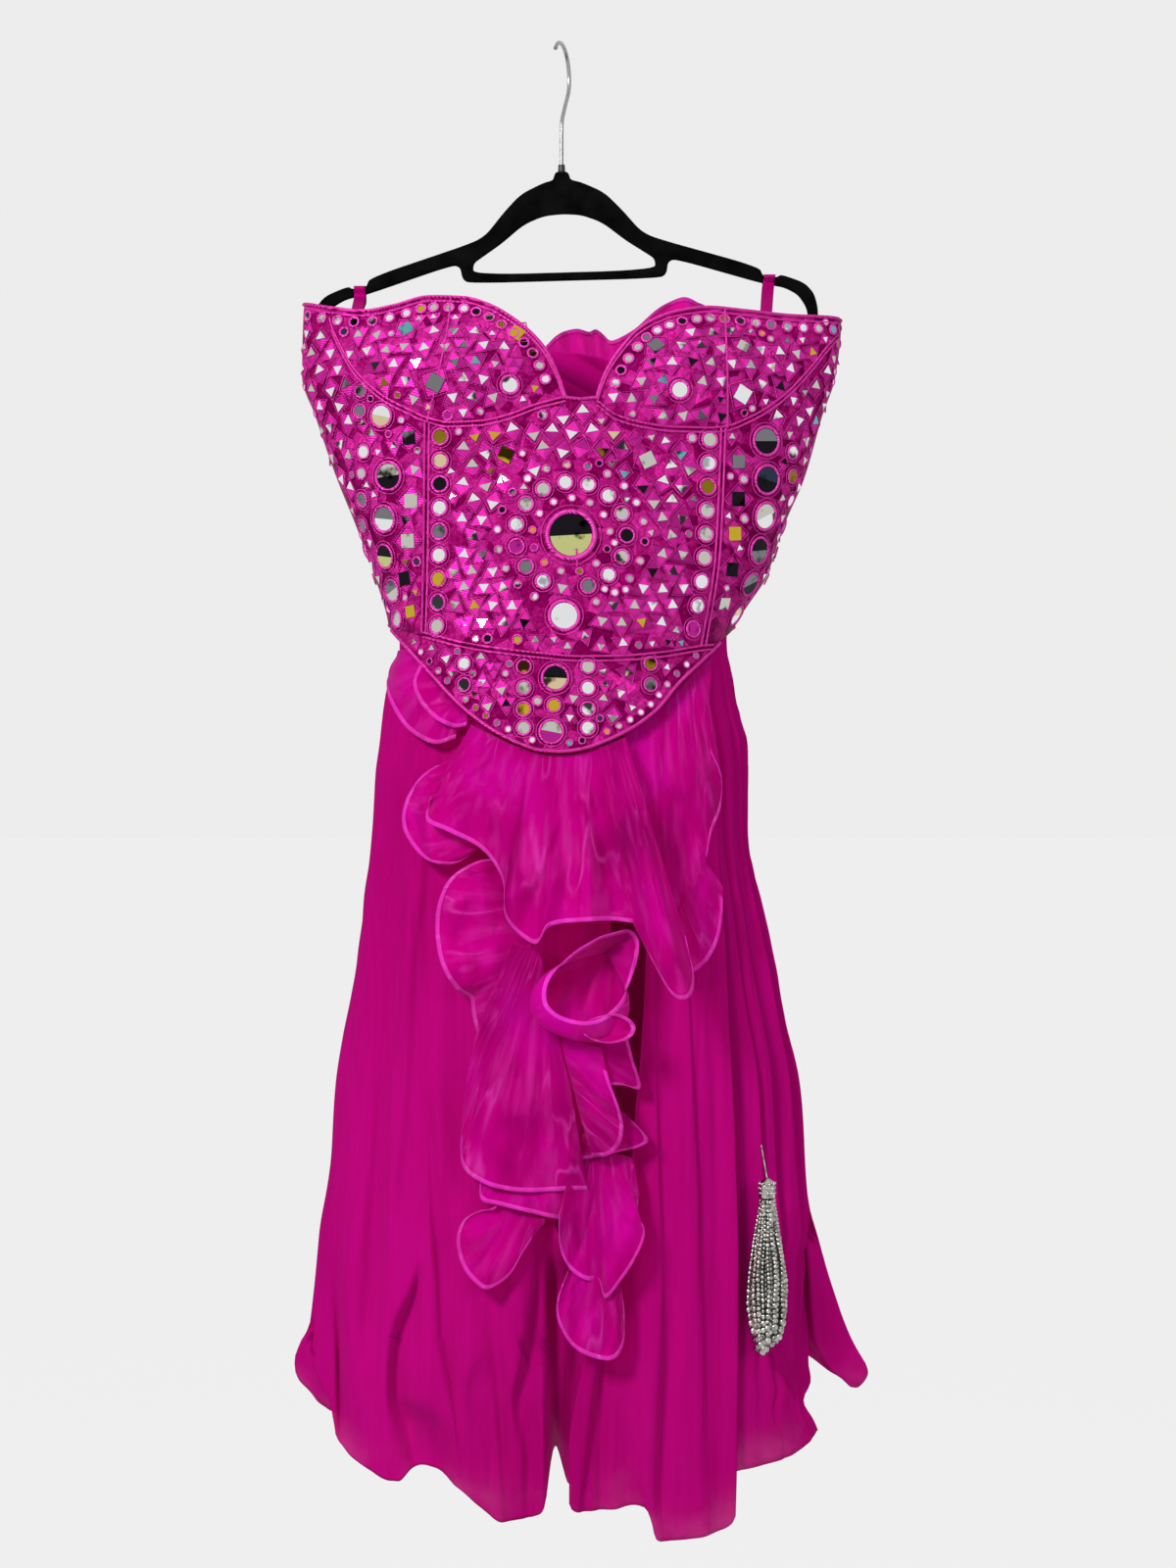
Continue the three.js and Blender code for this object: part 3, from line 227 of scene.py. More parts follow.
# ---- Curves and forms ---------------------------------------------------------------------------
def curve(rows, column=1):
    """A column of a table, read by its first, as a smooth curve that never overshoots its rows."""
    ordered = sorted(rows, key=lambda row: row[0])
    at = np.array([row[0] for row in ordered], float)
    value = np.array([row[column] for row in ordered], float)
    slope = np.diff(value) / np.diff(at)
    turn = slope[:-1] * slope[1:]
    total = np.where(slope[:-1] + slope[1:] == 0, 1, slope[:-1] + slope[1:])
    inner = np.where(turn > 0, 2 * turn / total, 0)
    tangent = np.concatenate([slope[:1], inner, slope[-1:]])

    def read(place):
        place = np.clip(place, at[0], at[-1])
        i = np.clip(np.searchsorted(at, place) - 1, 0, len(at) - 2)
        span = at[i + 1] - at[i]
        t = (place - at[i]) / span
        start = (2 * t**3 - 3 * t**2 + 1) * value[i] + (t**3 - 2 * t**2 + t) * span * tangent[i]
        return start + (3 * t**2 - 2 * t**3) * value[i + 1] + (t**3 - t**2) * span * tangent[i + 1]

    return read


def spline(points, closed=False):
    """A smooth line through points, read by a share from 0 to 1."""
    points = np.array(points, float)
    if closed:
        padded = np.vstack([points[-1:], points, points[:2]])
    else:
        padded = np.vstack([2 * points[0] - points[1], points, 2 * points[-1] - points[-2]])
    count = len(points) - (not closed)

    def read(share):
        place = np.clip(share, 0, 1) * count
        i = np.minimum(place.astype(int), count - 1)
        t = (place - i)[:, None]
        a, b, c, d = (padded[i + k] for k in range(4))
        bend, twist = 2 * a - 5 * b + 4 * c - d, 3 * b - a - 3 * c + d
        return 0.5 * (2 * b + (c - a) * t + bend * t**2 + twist * t**3)

    return read


def mix(a, b, t):
    return a + (b - a) * t


def smooth(t):
    t = np.clip(t, 0, 1)
    return t * t * (3 - 2 * t)


def hump(distance, width):
    return np.exp(-((distance / width) ** 2))


ROUNDNESS = 2.2


def oval(left, right, depth, angle):
    """Point of an oval section: 0 is the right side, pi the left, and the front is -Y."""
    cosine = np.cos(angle)
    power = 2 / ROUNDNESS
    x = (left + right) / 2 + (right - left) / 2 * np.sign(cosine) * np.abs(cosine) ** power
    return x, -depth * np.abs(np.sin(angle)) ** power


def oval_angle(left, right, x):
    reach = np.clip((x - (left + right) / 2) / ((right - left) / 2), -1, 1)
    return np.arccos(np.sign(reach) * np.abs(reach) ** (ROUNDNESS / 2))


bodice_left, bodice_right, bodice_front, bodice_rear = (curve(BODICE, c) for c in (1, 2, 3, 4))
neck_left, neck_right = curve(NECKLINE_LEFT), curve(NECKLINE_RIGHT)
cup_seam_left, cup_seam_right = curve(CUP_SEAM_LEFT), curve(CUP_SEAM_RIGHT)
princess_left, princess_right = curve(PRINCESS, 1), curve(PRINCESS, 2)
waist_seam, hem_line, back_neck = curve(WAIST_SEAM), curve(HEM), curve(BACK_NECKLINE)
skirt_left, skirt_right, skirt_back_left, skirt_back_right, skirt_front, skirt_rear = (
    curve(SKIRT, c) for c in range(1, 7)
)


def bodice_around(angle, z):
    x, y = oval(bodice_left(z), bodice_right(z), bodice_front(z), angle)
    for middle, height, wide, high, swell in CUPS:
        inside = np.maximum(0, 1 - ((x - middle) / wide) ** 2 - ((z - height) / high) ** 2)
        y = y - swell * inside**2
    return x, y, z


def bodice_at(x, z):
    return bodice_around(oval_angle(bodice_left(z), bodice_right(z), x), z)


def bodice_behind(angle, z):
    x, y = oval(bodice_left(z), bodice_right(z), bodice_rear(z), angle)
    return x, -y, z


def skirt_around(angle, z, inside=0.0):
    x, y = oval(skirt_left(z), skirt_right(z), skirt_front(z) - inside, angle)
    return x, y, z


def skirt_angle(x, z):
    return oval_angle(skirt_left(z), skirt_right(z), x)


def skirt_at(x, z):
    return skirt_around(skirt_angle(x, z), z)


def ripple(x, z, scale, seed, octaves=5):
    """Uneven soft waves between about -1 and 1; scale is (across, down) in millimetres."""
    pick = random.Random(seed)
    total = np.zeros(np.broadcast(x, z).shape)
    for _ in range(octaves):
        across, down = pick.uniform(0.6, 1.6) / scale[0], pick.uniform(-1, 1) / scale[1]
        total = total + np.sin(2 * np.pi * (across * x + down * z) + pick.uniform(0, 6.28))
    return total / octaves * 1.6


# ---- Mesh makers --------------------------------------------------------------------------------
def mesh_of(shape, name):
    """Turns a draft into a mesh and frees the draft."""
    mesh = bpy.data.meshes.new(name)
    shape.to_mesh(mesh)
    shape.free()
    return mesh


def finish_object(name, mesh, *materials, smooth_faces=True):
    for material in materials:
        mesh.materials.append(material)
    if smooth_faces:
        mesh.shade_smooth()
    piece = add(name, mesh)
    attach(piece, "root")
    return piece


def run_of(lines):
    """Mean length of lines of points."""
    return float(np.linalg.norm(np.diff(lines, axis=1), axis=2).sum(axis=1).mean())


FORWARD, BACKWARD = (0, -1, 0), (0, 1, 0)


def cloth(name, place, across, down, materials, thickness, outward=FORWARD, offset=-1):
    """A sheet of cloth on a grid: place(u, v) gives its points in millimetres."""
    shape = bmesh.new()
    shape.loops.layers.uv.new("cloth")
    bmesh.ops.create_grid(shape, x_segments=across, y_segments=down, size=0.5, calc_uvs=True)
    mesh = mesh_of(shape, name)
    flat = np.empty(len(mesh.vertices) * 3)
    mesh.vertices.foreach_get("co", flat)
    flat = flat.reshape(-1, 3)
    points = np.stack(place(flat[:, 0] + 0.5, flat[:, 1] + 0.5), 1) * MM
    mesh.vertices.foreach_set("co", points.ravel())
    lines = points.reshape(down + 1, across + 1, 3)
    cut = run_of(lines), run_of(lines.transpose(1, 0, 2))
    weave = mesh.uv_layers["cloth"]
    spots = np.empty(len(weave.data) * 2)
    weave.data.foreach_get("uv", spots)
    weave.data.foreach_set("uv", (spots.reshape(-1, 2) * np.array(cut)).ravel())
    mesh.update()
    face_outwards(mesh, outward)
    piece = finish_object(name, mesh, *materials)
    wall = piece.modifiers.new("thickness", "SOLIDIFY")
    wall.thickness = thickness * MM
    wall.offset = offset
    wall.material_offset = len(materials) - 1
    wall.material_offset_rim = 0
    return piece


def face_outwards(mesh, outward):
    """Turns an open sheet so that most of its faces look along outward."""
    normals = np.empty(len(mesh.polygons) * 3)
    mesh.polygons.foreach_get("normal", normals)
    if (normals.reshape(-1, 3) @ np.array(outward, float)).sum() < 0:
        mesh.flip_normals()


def cords(name, paths, radius, material, sides=1):
    """Round cords laid along lists of points in millimetres."""
    lines = bpy.data.curves.new(name, "CURVE")
    lines.dimensions = "3D"
    lines.bevel_depth = radius * MM
    lines.bevel_resolution = sides
    lines.use_fill_caps = True
    for path in paths:
        cord = lines.splines.new("POLY")
        cord.points.add(len(path) - 1)
        cord.points.foreach_set("co", np.array([[*p, 1 / MM] for p in path]).ravel() * MM)
    draft = add(name, lines)
    mesh = bpy.data.meshes.new_from_object(draft.evaluated_get(bpy.context.evaluated_depsgraph_get()))
    bpy.data.objects.remove(draft)
    return finish_object(name, mesh, material)


SIDE_GAP = 0.02  # how near the side seams a place on the bodice may lie, in radians


def unit(steps):
    return steps / np.linalg.norm(steps, axis=-1, keepdims=True)


def bodice_frames(x, z):
    """Places on the bodice's front, with the directions across, up and outwards at each."""
    x, z = np.asarray(x, float), np.asarray(z, float)
    angle = np.clip(oval_angle(bodice_left(z), bodice_right(z), x), SIDE_GAP, np.pi - SIDE_GAP)

    def near(turn, rise):
        return np.stack(bodice_around(angle + turn, z + rise), -1)

    across = unit(near(-0.01, 0) - near(0.01, 0))
    out = unit(np.cross(across, near(0, 0.5) - near(0, -0.5)))
    return near(0, 0), across, np.cross(out, across), out


def lay(path, lift):
    """Points of a line of (x, z) places laid on the bodice's front."""
    here, _, _, out = bodice_frames(*np.array(path, float).T)
    return here + out * lift


def lay_round(x, z, offsets, lift):
    """Points that lie round one place on the bodice, given as steps across and up from it."""
    here, across, up, out = bodice_frames(x, z)
    steps = np.array(offsets, float)
    return here + steps[:, :1] * across + steps[:, 1:] * up + out * lift


# ---- Finishes -----------------------------------------------------------------------------------
THREAD_SCALE = 420.0  # how close the threads of the thin cloths lie
PATCH_SCALE = 95.0  # how close the patches of stitching lie


def new_finish(name, colour, roughness, **extra):
    material = bpy.data.materials.new(name)
    material.use_nodes = True
    shader = material.node_tree.nodes["Principled BSDF"]
    feed(material.node_tree, shader, Base_Color=(*colour, 1), Roughness=roughness, **extra)
    return material, material.node_tree, shader


def ramp(tree, source, stops):
    """A colour ramp from a value; stops are (place, colour)."""
    made = node(tree, "ShaderNodeValToRGB", Fac=source)
    band = made.color_ramp
    while len(band.elements) < len(stops):
        band.elements.new(0.5)
    for element, (place, colour) in zip(band.elements, stops):
        element.position = place
        element.color = (*colour, 1)
    return made.outputs["Color"]


def place_of(tree, scale=(1, 1, 1), weave=False, turn=(0, 0, 0)):
    """Object or cloth coordinates, scaled and turned."""
    if weave:
        source = node(tree, "ShaderNodeUVMap", uv_map="cloth").outputs["UV"]
    else:
        source = node(tree, "ShaderNodeTexCoord").outputs["Object"]
    return node(tree, "ShaderNodeMapping", Scale=scale, Rotation=turn, Vector=source).outputs["Vector"]


def noise(tree, vector, scale, detail=3.0):
    return node(tree, "ShaderNodeTexNoise", Scale=scale, Detail=detail, Vector=vector).outputs["Fac"]


def bands(tree, vector, scale, direction="X"):
    made = node(tree, "ShaderNodeTexWave", bands_direction=direction, Scale=scale, Vector=vector)
    return made.outputs["Fac"]


def math_node(tree, operation, first, second):
    made = node(tree, "ShaderNodeMath", operation=operation)
    for socket, value in zip(made.inputs, (first, second)):
        supply(tree, socket, value)
    return made.outputs["Value"]


def times(tree, first, second):
    return math_node(tree, "MULTIPLY", first, second)


def plus(tree, first, second):
    return math_node(tree, "ADD", first, second)


def raise_surface(tree, shader, height, strength, depth):
    bump = node(tree, "ShaderNodeBump", Strength=strength, Distance=depth, Height=height)
    feed(tree, shader, Normal=bump.outputs["Normal"])


def mix_shaders(tree, share, first, second):
    made = node(tree, "ShaderNodeMixShader", Fac=share)
    tree.links.new(first, made.inputs[1])
    tree.links.new(second, made.inputs[2])
    return made.outputs["Shader"]


def see_through(tree, shader, colour, share, light_colour, light_share):
    """Lets light glow through the cloth and shows a share of what is behind it."""
    glow = node(tree, "ShaderNodeBsdfTranslucent", Color=(*light_colour, 1)).outputs["BSDF"]
    clear = node(tree, "ShaderNodeBsdfTransparent", Color=(*colour, 1)).outputs["BSDF"]
    lit = mix_shaders(tree, light_share, shader.outputs["BSDF"], glow)
    feed(tree, tree.nodes["Material Output"], Surface=mix_shaders(tree, share, lit, clear))


def grey(level):
    return (level, level, level)


def chiffon_finish():
    material, tree, shader = new_finish(
        "chiffon", (0.5, 0.001, 0.18), 0.75, Sheen_Weight=0.12, Sheen_Roughness=0.45,
        Sheen_Tint=(1.0, 0.1, 0.6, 1), Specular_IOR_Level=0.0)
    shade = noise(tree, place_of(tree, (1, 1, 0.35)), 9.0, 4.0)
    slub = noise(tree, place_of(tree, (1, 1, 0.05)), 260.0)
    tone = plus(tree, times(tree, shade, 0.7), times(tree, slub, 0.3))
    stops = [(0.32, (0.46, 0.0012, 0.17)), (0.68, (0.6, 0.0025, 0.25))]
    feed(tree, shader, Base_Color=ramp(tree, tone, stops))
    threads = place_of(tree, weave=True)
    warp = bands(tree, threads, THREAD_SCALE, "X")
    weft = bands(tree, threads, THREAD_SCALE, "Y")
    crimp = noise(tree, place_of(tree, (1, 1, 0.12)), 190.0)
    raise_surface(tree, shader, plus(tree, times(tree, warp, weft), crimp), 0.35, 0.0004)
    above_hem = node(tree, "ShaderNodeSeparateXYZ", Vector=threads).outputs["Y"]
    near_hem = node(tree, "ShaderNodeMapRange", interpolation_type="SMOOTHSTEP", From_Max=0.045, To_Min=0.3,
                    To_Max=0.05, Value=above_hem)
    clouds = ramp(tree, noise(tree, place_of(tree), 26.0), [(0.35, grey(0.2)), (0.65, grey(1))])
    clear = times(tree, near_hem.outputs["Result"], clouds)
    see_through(tree, shader, (1, 0.55, 0.85), clear, (0.75, 0.0, 0.3), 0.22)
    return material


def blend(tree, share, first, second):
    """Mixes a colour from the tree with a plain one."""
    made = node(tree, "ShaderNodeMix", data_type="RGBA", Factor=share, A=first, B=(*second, 1))
    return made.outputs["Result"]


# Multiplies a colour by the painted light on each face: a mirror's painted reflection, or a satin facet's
# painted shade.
def times_painted_light(tree, colour):
    painted_light = node(tree, "ShaderNodeAttribute", attribute_name="painted_light").outputs["Color"]
    made = node(tree, "ShaderNodeMix", data_type="RGBA", blend_type="MULTIPLY", Factor=1, A=colour, B=painted_light)
    return made.outputs["Result"]


def organza_finish(name, colour, pale, clear_share):
    """Crisp thin cloth: cloudy, with painted highlights along creases that run with the threads, and streaks
    of painted sheen.
    """
    material, tree, shader = new_finish(
        name, colour, 0.36, Metallic=0.3, Sheen_Weight=0.4, Sheen_Roughness=0.3,
        Sheen_Tint=(1.0, 0.2, 0.8, 1), Specular_IOR_Level=0.0)
    cloud = noise(tree, place_of(tree, (1, 1, 0.7)), 20.0, 5.0)
    darker = tuple(c * 0.66 for c in colour)
    lighter = (min(colour[0] * 1.2, 1), colour[1] + 0.002, colour[2] * 1.5)
    tone = ramp(tree, cloud, [(0.3, darker), (0.5, colour), (0.68, lighter)])
    # The pale colour is painted light: highlights along thin crease lines and sheen in streaks along the
    # threads.
    wander = noise(tree, place_of(tree, (1, 0.3, 1), weave=True), 26.0, 2.5)
    off_line = math_node(tree, "ABSOLUTE", math_node(tree, "SUBTRACT", wander, 0.5), 0)
    line = ramp(tree, off_line, [(0.0, grey(1)), (0.006, grey(0.6)), (0.02, grey(0))])
    patch = ramp(tree, noise(tree, place_of(tree), 17.0), [(0.46, grey(0)), (0.6, grey(1))])
    painted_crease_highlight = times(tree, line, patch)
    streaks = noise(tree, place_of(tree, (1, 0.25, 1), weave=True), 90.0)
    painted_sheen_streaks = ramp(tree, streaks, [(0.5, grey(0)), (0.75, grey(0.4))])
    share = math_node(tree, "MAXIMUM", times(tree, painted_crease_highlight, 0.75), painted_sheen_streaks)
    feed(tree, shader, Base_Color=blend(tree, share, tone, pale))
    threads = place_of(tree, weave=True)
    weave = plus(tree, bands(tree, threads, THREAD_SCALE, "X"), bands(tree, threads, THREAD_SCALE, "Y"))
    height = plus(tree, times(tree, weave, 0.04), plus(tree, cloud, times(tree, painted_crease_highlight, 0.25)))
    raise_surface(tree, shader, height, 0.7, 0.004)
    path = node(tree, "ShaderNodeLightPath")
    clear = plus(tree, times(tree, path.outputs["Is Shadow Ray"], 0.18), clear_share)
    see_through(tree, shader, (1, 0.2, 0.72), clear, (0.9, 0.0, 0.42), 0.25)
    return material


def embroidery_finish():
    """Silk stitching that changes direction from patch to patch."""
    material, tree, shader = new_finish(
        "embroidery", (0.4, 0.002, 0.15), 0.38, Metallic=0.35, Specular_IOR_Level=0.0)
    spot = place_of(tree, (1, 0.6, 1))
    patches = node(tree, "ShaderNodeTexVoronoi", Scale=PATCH_SCALE, Vector=spot)
    split = node(tree, "ShaderNodeSeparateColor", Color=patches.outputs["Color"])
    swung = node(tree, "ShaderNodeVectorRotate", rotation_type="Y_AXIS", Vector=spot,
                 Angle=times(tree, split.outputs["Red"], 3.1))
    stitches = bands(tree, swung.outputs["Vector"], 330.0)
    speckle = noise(tree, spot, 420.0)
    grain = plus(tree, times(tree, stitches, 0.2), times(tree, speckle, 0.45))
    tone = plus(tree, times(tree, split.outputs["Green"], 0.35), grain)
    stops = [(0.25, (0.1, 0.0004, 0.034)), (0.5, (0.3, 0.0012, 0.115)), (0.78, (0.68, 0.03, 0.36))]
    feed(tree, shader, Base_Color=ramp(tree, tone, stops))
    edge = node(tree, "ShaderNodeTexVoronoi", Scale=PATCH_SCALE, feature="DISTANCE_TO_EDGE", Vector=spot)
    swell = math_node(tree, "MINIMUM", edge.outputs["Distance"], 0.25)
    raise_surface(tree, shader, plus(tree, times(tree, swell, 3.0), times(tree, stitches, 0.35)), 0.7, 0.0012)
    return material


def thread_finish(name, dark, light, roughness, scale, painted_facet_shade=False):
    """Glossy silk thread laid side by side; with painted facet shade its colour is made lighter or darker
    from facet to facet, as painted light and shade.
    """
    material, tree, shader = new_finish(name, light, roughness, Metallic=0.4, Specular_IOR_Level=0.0)
    spot = place_of(tree, turn=(0.4, 0.5, 0.3))
    strands = bands(tree, spot, scale, "DIAGONAL")
    uneven = noise(tree, spot, 300.0, 2.0)
    tone = plus(tree, times(tree, strands, 0.5), times(tree, uneven, 0.5))
    colour = ramp(tree, tone, [(0.25, dark), (0.7, light)])
    if painted_facet_shade:
        colour = times_painted_light(tree, colour)
    feed(tree, shader, Base_Color=colour)
    raise_surface(tree, shader, tone, 0.6, 0.0006)
    return material


def mirror_finish():
    """Small hand-cut mirrors: each has its own painted reflection colour, and noise paints dark, pale and
    grey-green reflections in patches over them.
    """
    material, tree, shader = new_finish("mirror_glass", (0.8, 0.8, 0.8), 0.07, Metallic=1.0)
    # Painted reflection: noise patches, dark, white and grey-green, as if the mirrors reflected a room.
    painted_reflection = noise(tree, place_of(tree, turn=(0.5, 0.4, 0.2)), 44.0)
    stops = [(0.36, (0.05, 0.05, 0.06)), (0.385, (0.5, 0.48, 0.4)), (0.43, (1, 1, 1)), (0.62, (1, 1, 1)),
             (0.66, (0.45, 0.5, 0.5))]
    feed(tree, shader, Base_Color=times_painted_light(tree, ramp(tree, painted_reflection, stops)))
    raise_surface(tree, shader, noise(tree, place_of(tree), 90.0, 2.0), 0.22, 0.002)
    return material


def flock_finish():
    material, tree, shader = new_finish(
        "velvet_flock", (0.002, 0.002, 0.0022), 0.95, Sheen_Weight=0.025, Sheen_Roughness=0.5,
        Specular_IOR_Level=0.01)
    fuzz = noise(tree, place_of(tree), 1500.0, 2.0)
    pile = noise(tree, place_of(tree), 60.0)
    stops = [(0.3, (0.0012, 0.0012, 0.0014)), (0.7, (0.004, 0.004, 0.0045))]
    feed(tree, shader, Base_Color=ramp(tree, pile, stops))
    raise_surface(tree, shader, fuzz, 0.5, 0.0004)
    return material


def metal_finish(name, colour, roughness, dullest):
    material, tree, shader = new_finish(name, colour, roughness, Metallic=1.0)
    tarnish = tuple(c * dullest for c in colour)
    spots = noise(tree, place_of(tree), 260.0, 2.0)
    scratch = noise(tree, place_of(tree, (1, 1, 0.1)), 900.0)
    rough = node(tree, "ShaderNodeMapRange", To_Min=roughness * 0.7, To_Max=roughness * 1.5, Value=scratch)
    feed(tree, shader, Base_Color=ramp(tree, spots, [(0.36, tarnish), (0.6, colour)]),
         Roughness=rough.outputs["Result"])
    return material


chiffon = chiffon_finish()
organza = organza_finish("organza", (0.57, 0.0006, 0.28), (0.82, 0.06, 0.58), 0.34)
# A darker copy of the organza: painted shade for the inside of the rolled lobes.
organza_painted_shade = organza_finish("organza_painted_shade", (0.46, 0.0003, 0.2), (0.68, 0.03, 0.44), 0.3)
organza_binding = organza_finish("organza_binding", (0.85, 0.035, 0.52), (0.95, 0.12, 0.68), 0.08)
embroidery = embroidery_finish()
# The satin facets carry painted light and shade, one brightness per facet.
satin_facets = thread_finish("satin_facets", (0.46, 0.006, 0.21), (0.8, 0.035, 0.46), 0.42, 330.0, painted_facet_shade=True)
satin_stitch = thread_finish("satin_stitch", (0.3, 0.003, 0.13), (0.94, 0.09, 0.6), 0.32, 330.0)
couched_cord = thread_finish("couched_cord", (0.24, 0.002, 0.09), (0.84, 0.06, 0.48), 0.36, 420.0)
lining = thread_finish("satin_lining", (0.3, 0.0, 0.1), (0.42, 0.0, 0.16), 0.4, 200.0)
ribbon = thread_finish("satin_ribbon", (0.3, 0.0, 0.11), (0.4, 0.001, 0.16), 0.42, 260.0)
mirror_glass = mirror_finish()
flock = flock_finish()
steel = metal_finish("bright_steel", (0.38, 0.38, 0.39), 0.24, 0.85)
silver = metal_finish("silver_beads", (0.56, 0.55, 0.52), 0.14, 0.4)
black_plastic = new_finish("black_plastic", (0.006, 0.006, 0.007), 0.45)[0]

# ---- Bodice panels ------------------------------------------------------------------------------
BODICE_WALL = 2.0
BAND_LEFT, BAND_RIGHT = -139, 125.5
PRINCESS_FOOT = {"left": -497, "right": -507}  # heights at which the long seams end
BACK_LEVEL = -235.0  # the height at which the back neckline's places are read


def cup_place(seam_rows, seam, neck):
    """A cup, from the seam under it up to the neckline."""
    start, end = seam_rows[0][0] + 0.2, seam_rows[-1][0] - 0.2

    def place(u, v):
        x = mix(start, end, u)
        bottom = seam(x)
        return bodice_at(x, mix(bottom, np.maximum(neck(x), bottom + 1), v))

    return place


def centre_place(u, v):
    """The centre front, between the long seams, from the waist seam up to the cup seams."""
    top_x = mix(PRINCESS[0][1], PRINCESS[0][2], u)
    in_notch = smooth(top_x - NOTCH_LEFT) * smooth(NOTCH_RIGHT - top_x)
    top = np.where(top_x < NOTCH_MIDDLE, cup_seam_left(top_x), cup_seam_right(top_x))
    top = mix(top, NOTCH_Z, in_notch) - 0.2
    z = mix(waist_seam(mix(PRINCESS[2][1], PRINCESS[2][2], u)), top, v)
    return bodice_at(mix(princess_left(z), princess_right(z), u), z)


def side_place(side):
    """A side front: its inner edge follows the cup seam, then the princess seam."""
    rows = CUP_SEAM_LEFT if side == "left" else CUP_SEAM_RIGHT[::-1]
    column = {"left": 1, "right": 2}[side]
    seam_top, seam_foot = PRINCESS[0][column], PRINCESS[2][column]
    edge = [(x, z) for x, z in rows if abs(x) >= abs(seam_top)]
    corner = edge[0][0]
    neck = (neck_left if side == "left" else neck_right)(corner)
    edge = [(corner, float(neck))] + edge
    below, foot = edge[-1][1], PRINCESS_FOOT[side]
    edge += [(mix(seam_top, seam_foot, t), mix(below, foot, t)) for t in (0.25, 0.5, 0.75, 1)]
    share = np.linspace(0, 1, len(edge))
    inner_x, inner_z = (curve(list(zip(share, [p[k] for p in edge]))) for k in (0, 1))
    end = edge[-1][1]

    def place(u, v):
        x, z = inner_x(1 - v), inner_z(1 - v)
        side_z = z + (SIDE_TOP[side] - float(neck)) * smooth((z + 290) / 60)
        side_z = side_z + (SIDE_HEM[side] - end) * smooth((0.35 - v) / 0.35)
        height = mix(z, side_z, u)
        start = oval_angle(bodice_left(height), bodice_right(height), x)
        return bodice_around(mix(start, SIDE_SEAMS[side][0], u), height)

    return place


def band_place(u, v):
    """The band under the waist seam; its left end runs on under the side front."""
    x = mix(BAND_LEFT, BAND_RIGHT, u)
    under_side = mix(-489, -497, smooth((x - BAND_LEFT) / 28))
    top = np.where(x < WAIST_SEAM[0][0], under_side, waist_seam(x)) - 0.3
    return bodice_at(x, mix(np.minimum(hem_line(x), top - 0.6), top, v))


def back_place(side):
    """A back half, from the side seam to the middle, faintly uneven."""

    def place(u, v):
        edge, turn = SIDE_SEAMS[side]
        angle = mix(edge, np.pi / 2 - turn * 0.0006, u)
        top = back_neck(bodice_behind(angle, BACK_LEVEL)[0])
        bottom = mix(SIDE_HEM[side], BACK_HEM, smooth(u * 2))
        z = mix(bottom, top, v)
        x, y, z = bodice_behind(angle, z)
        gather = ripple(x, z, (60, 16), 5) * 0.8 + ripple(x, z, (24, 9), 8) * 0.35
        return x, y + gather * smooth(v * 6) * smooth((1 - v) * 6), z

    return place


PANELS = [  # name, places, grid, outward
    ("cup_left", cup_place(CUP_SEAM_LEFT, cup_seam_left, neck_left), (72, 36), FORWARD),
    ("cup_right", cup_place(CUP_SEAM_RIGHT, cup_seam_right, neck_right), (72, 36), FORWARD),
    ("bodice_centre", centre_place, (84, 70), FORWARD),
    ("bodice_side_left", side_place("left"), (36, 84), (-0.5, -1, 0)),
    ("bodice_side_right", side_place("right"), (36, 84), (0.5, -1, 0)),
    ("bodice_hem_band", band_place, (90, 24), FORWARD),
    ("bodice_back_left", back_place("left"), (56, 64), BACKWARD),
    ("bodice_back_right", back_place("right"), (56, 64), BACKWARD),
]
for name, place, grid, outward in PANELS:
    plain = "back" in name
    outside = lining if plain else embroidery
    panel = cloth(name + "_cloth", place, *grid, (outside, lining), BODICE_WALL, outward)
    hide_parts(name)

# ---- Cords along the seams ----------------------------------------------------------------------
CORD_RADIUS, PIPING_RADIUS, OUTLINE_RADIUS = 1.0, 1.5, 0.55
CORD_LIFT, PIPING_LIFT = 0.7, 0.4


def along(line, start, end, count, shift=0.0):
    """Places (x, z) along a seam that is read by x."""
    spots = np.linspace(start, end, count)
    return [(float(x), float(line(x)) + shift) for x in spots]


def upright(line, start, end, count, shift=0.0):
    """Places (x, z) along a seam that is read by height."""
    return [(float(line(z)) + shift, float(z)) for z in np.linspace(start, end, count)]


seam_paths = [
    along(cup_seam_left, -191, 4, 90, 1.6), along(cup_seam_left, -189, 4, 90, -2.2),
    along(cup_seam_right, 29, 229, 90, 1.6), along(cup_seam_right, 29, 229, 90, -2.2),
    along(neck_left, -189, 3, 90, -5.5), along(neck_right, 30, 229, 90, -5.5),
    [(-213, -221), (-200, -226.5), (-190, -229)],
    along(waist_seam, -111, 124, 80, 1.8), along(waist_seam, -111, 124, 80, -2.0),
    upright(princess_left, -324, -495, 60, -1.8), upright(princess_left, -326, -495, 60, 1.8),
    upright(princess_right, -329, -506, 60, -1.8), upright(princess_right, -329, -506, 60, 1.8),
    [(-90 - 3 * t - 15 * t * t, float(mix(-219, -324, t))) for t in np.linspace(0, 1, 30)],
    [(134 + t, float(mix(-228, -329, t))) for t in np.linspace(0, 1, 30)],
    [(13 + 0.5 * t, float(mix(-429, -443, t))) for t in np.linspace(0, 1, 8)],
]
edge_paths = [
    along(neck_left, -215, 4, 120, -1.0), along(neck_right, 29, 230, 120, -1.0),
    [(NOTCH_LEFT, -306), (NOTCH_MIDDLE, NOTCH_Z - 0.4), (NOTCH_RIGHT, -306)],
    along(hem_line, -140, 130, 140, 0.8),
]
seam_lines = [lay(path, CORD_LIFT) for path in seam_paths]
edge_lines = [lay(path, PIPING_LIFT) for path in edge_paths]
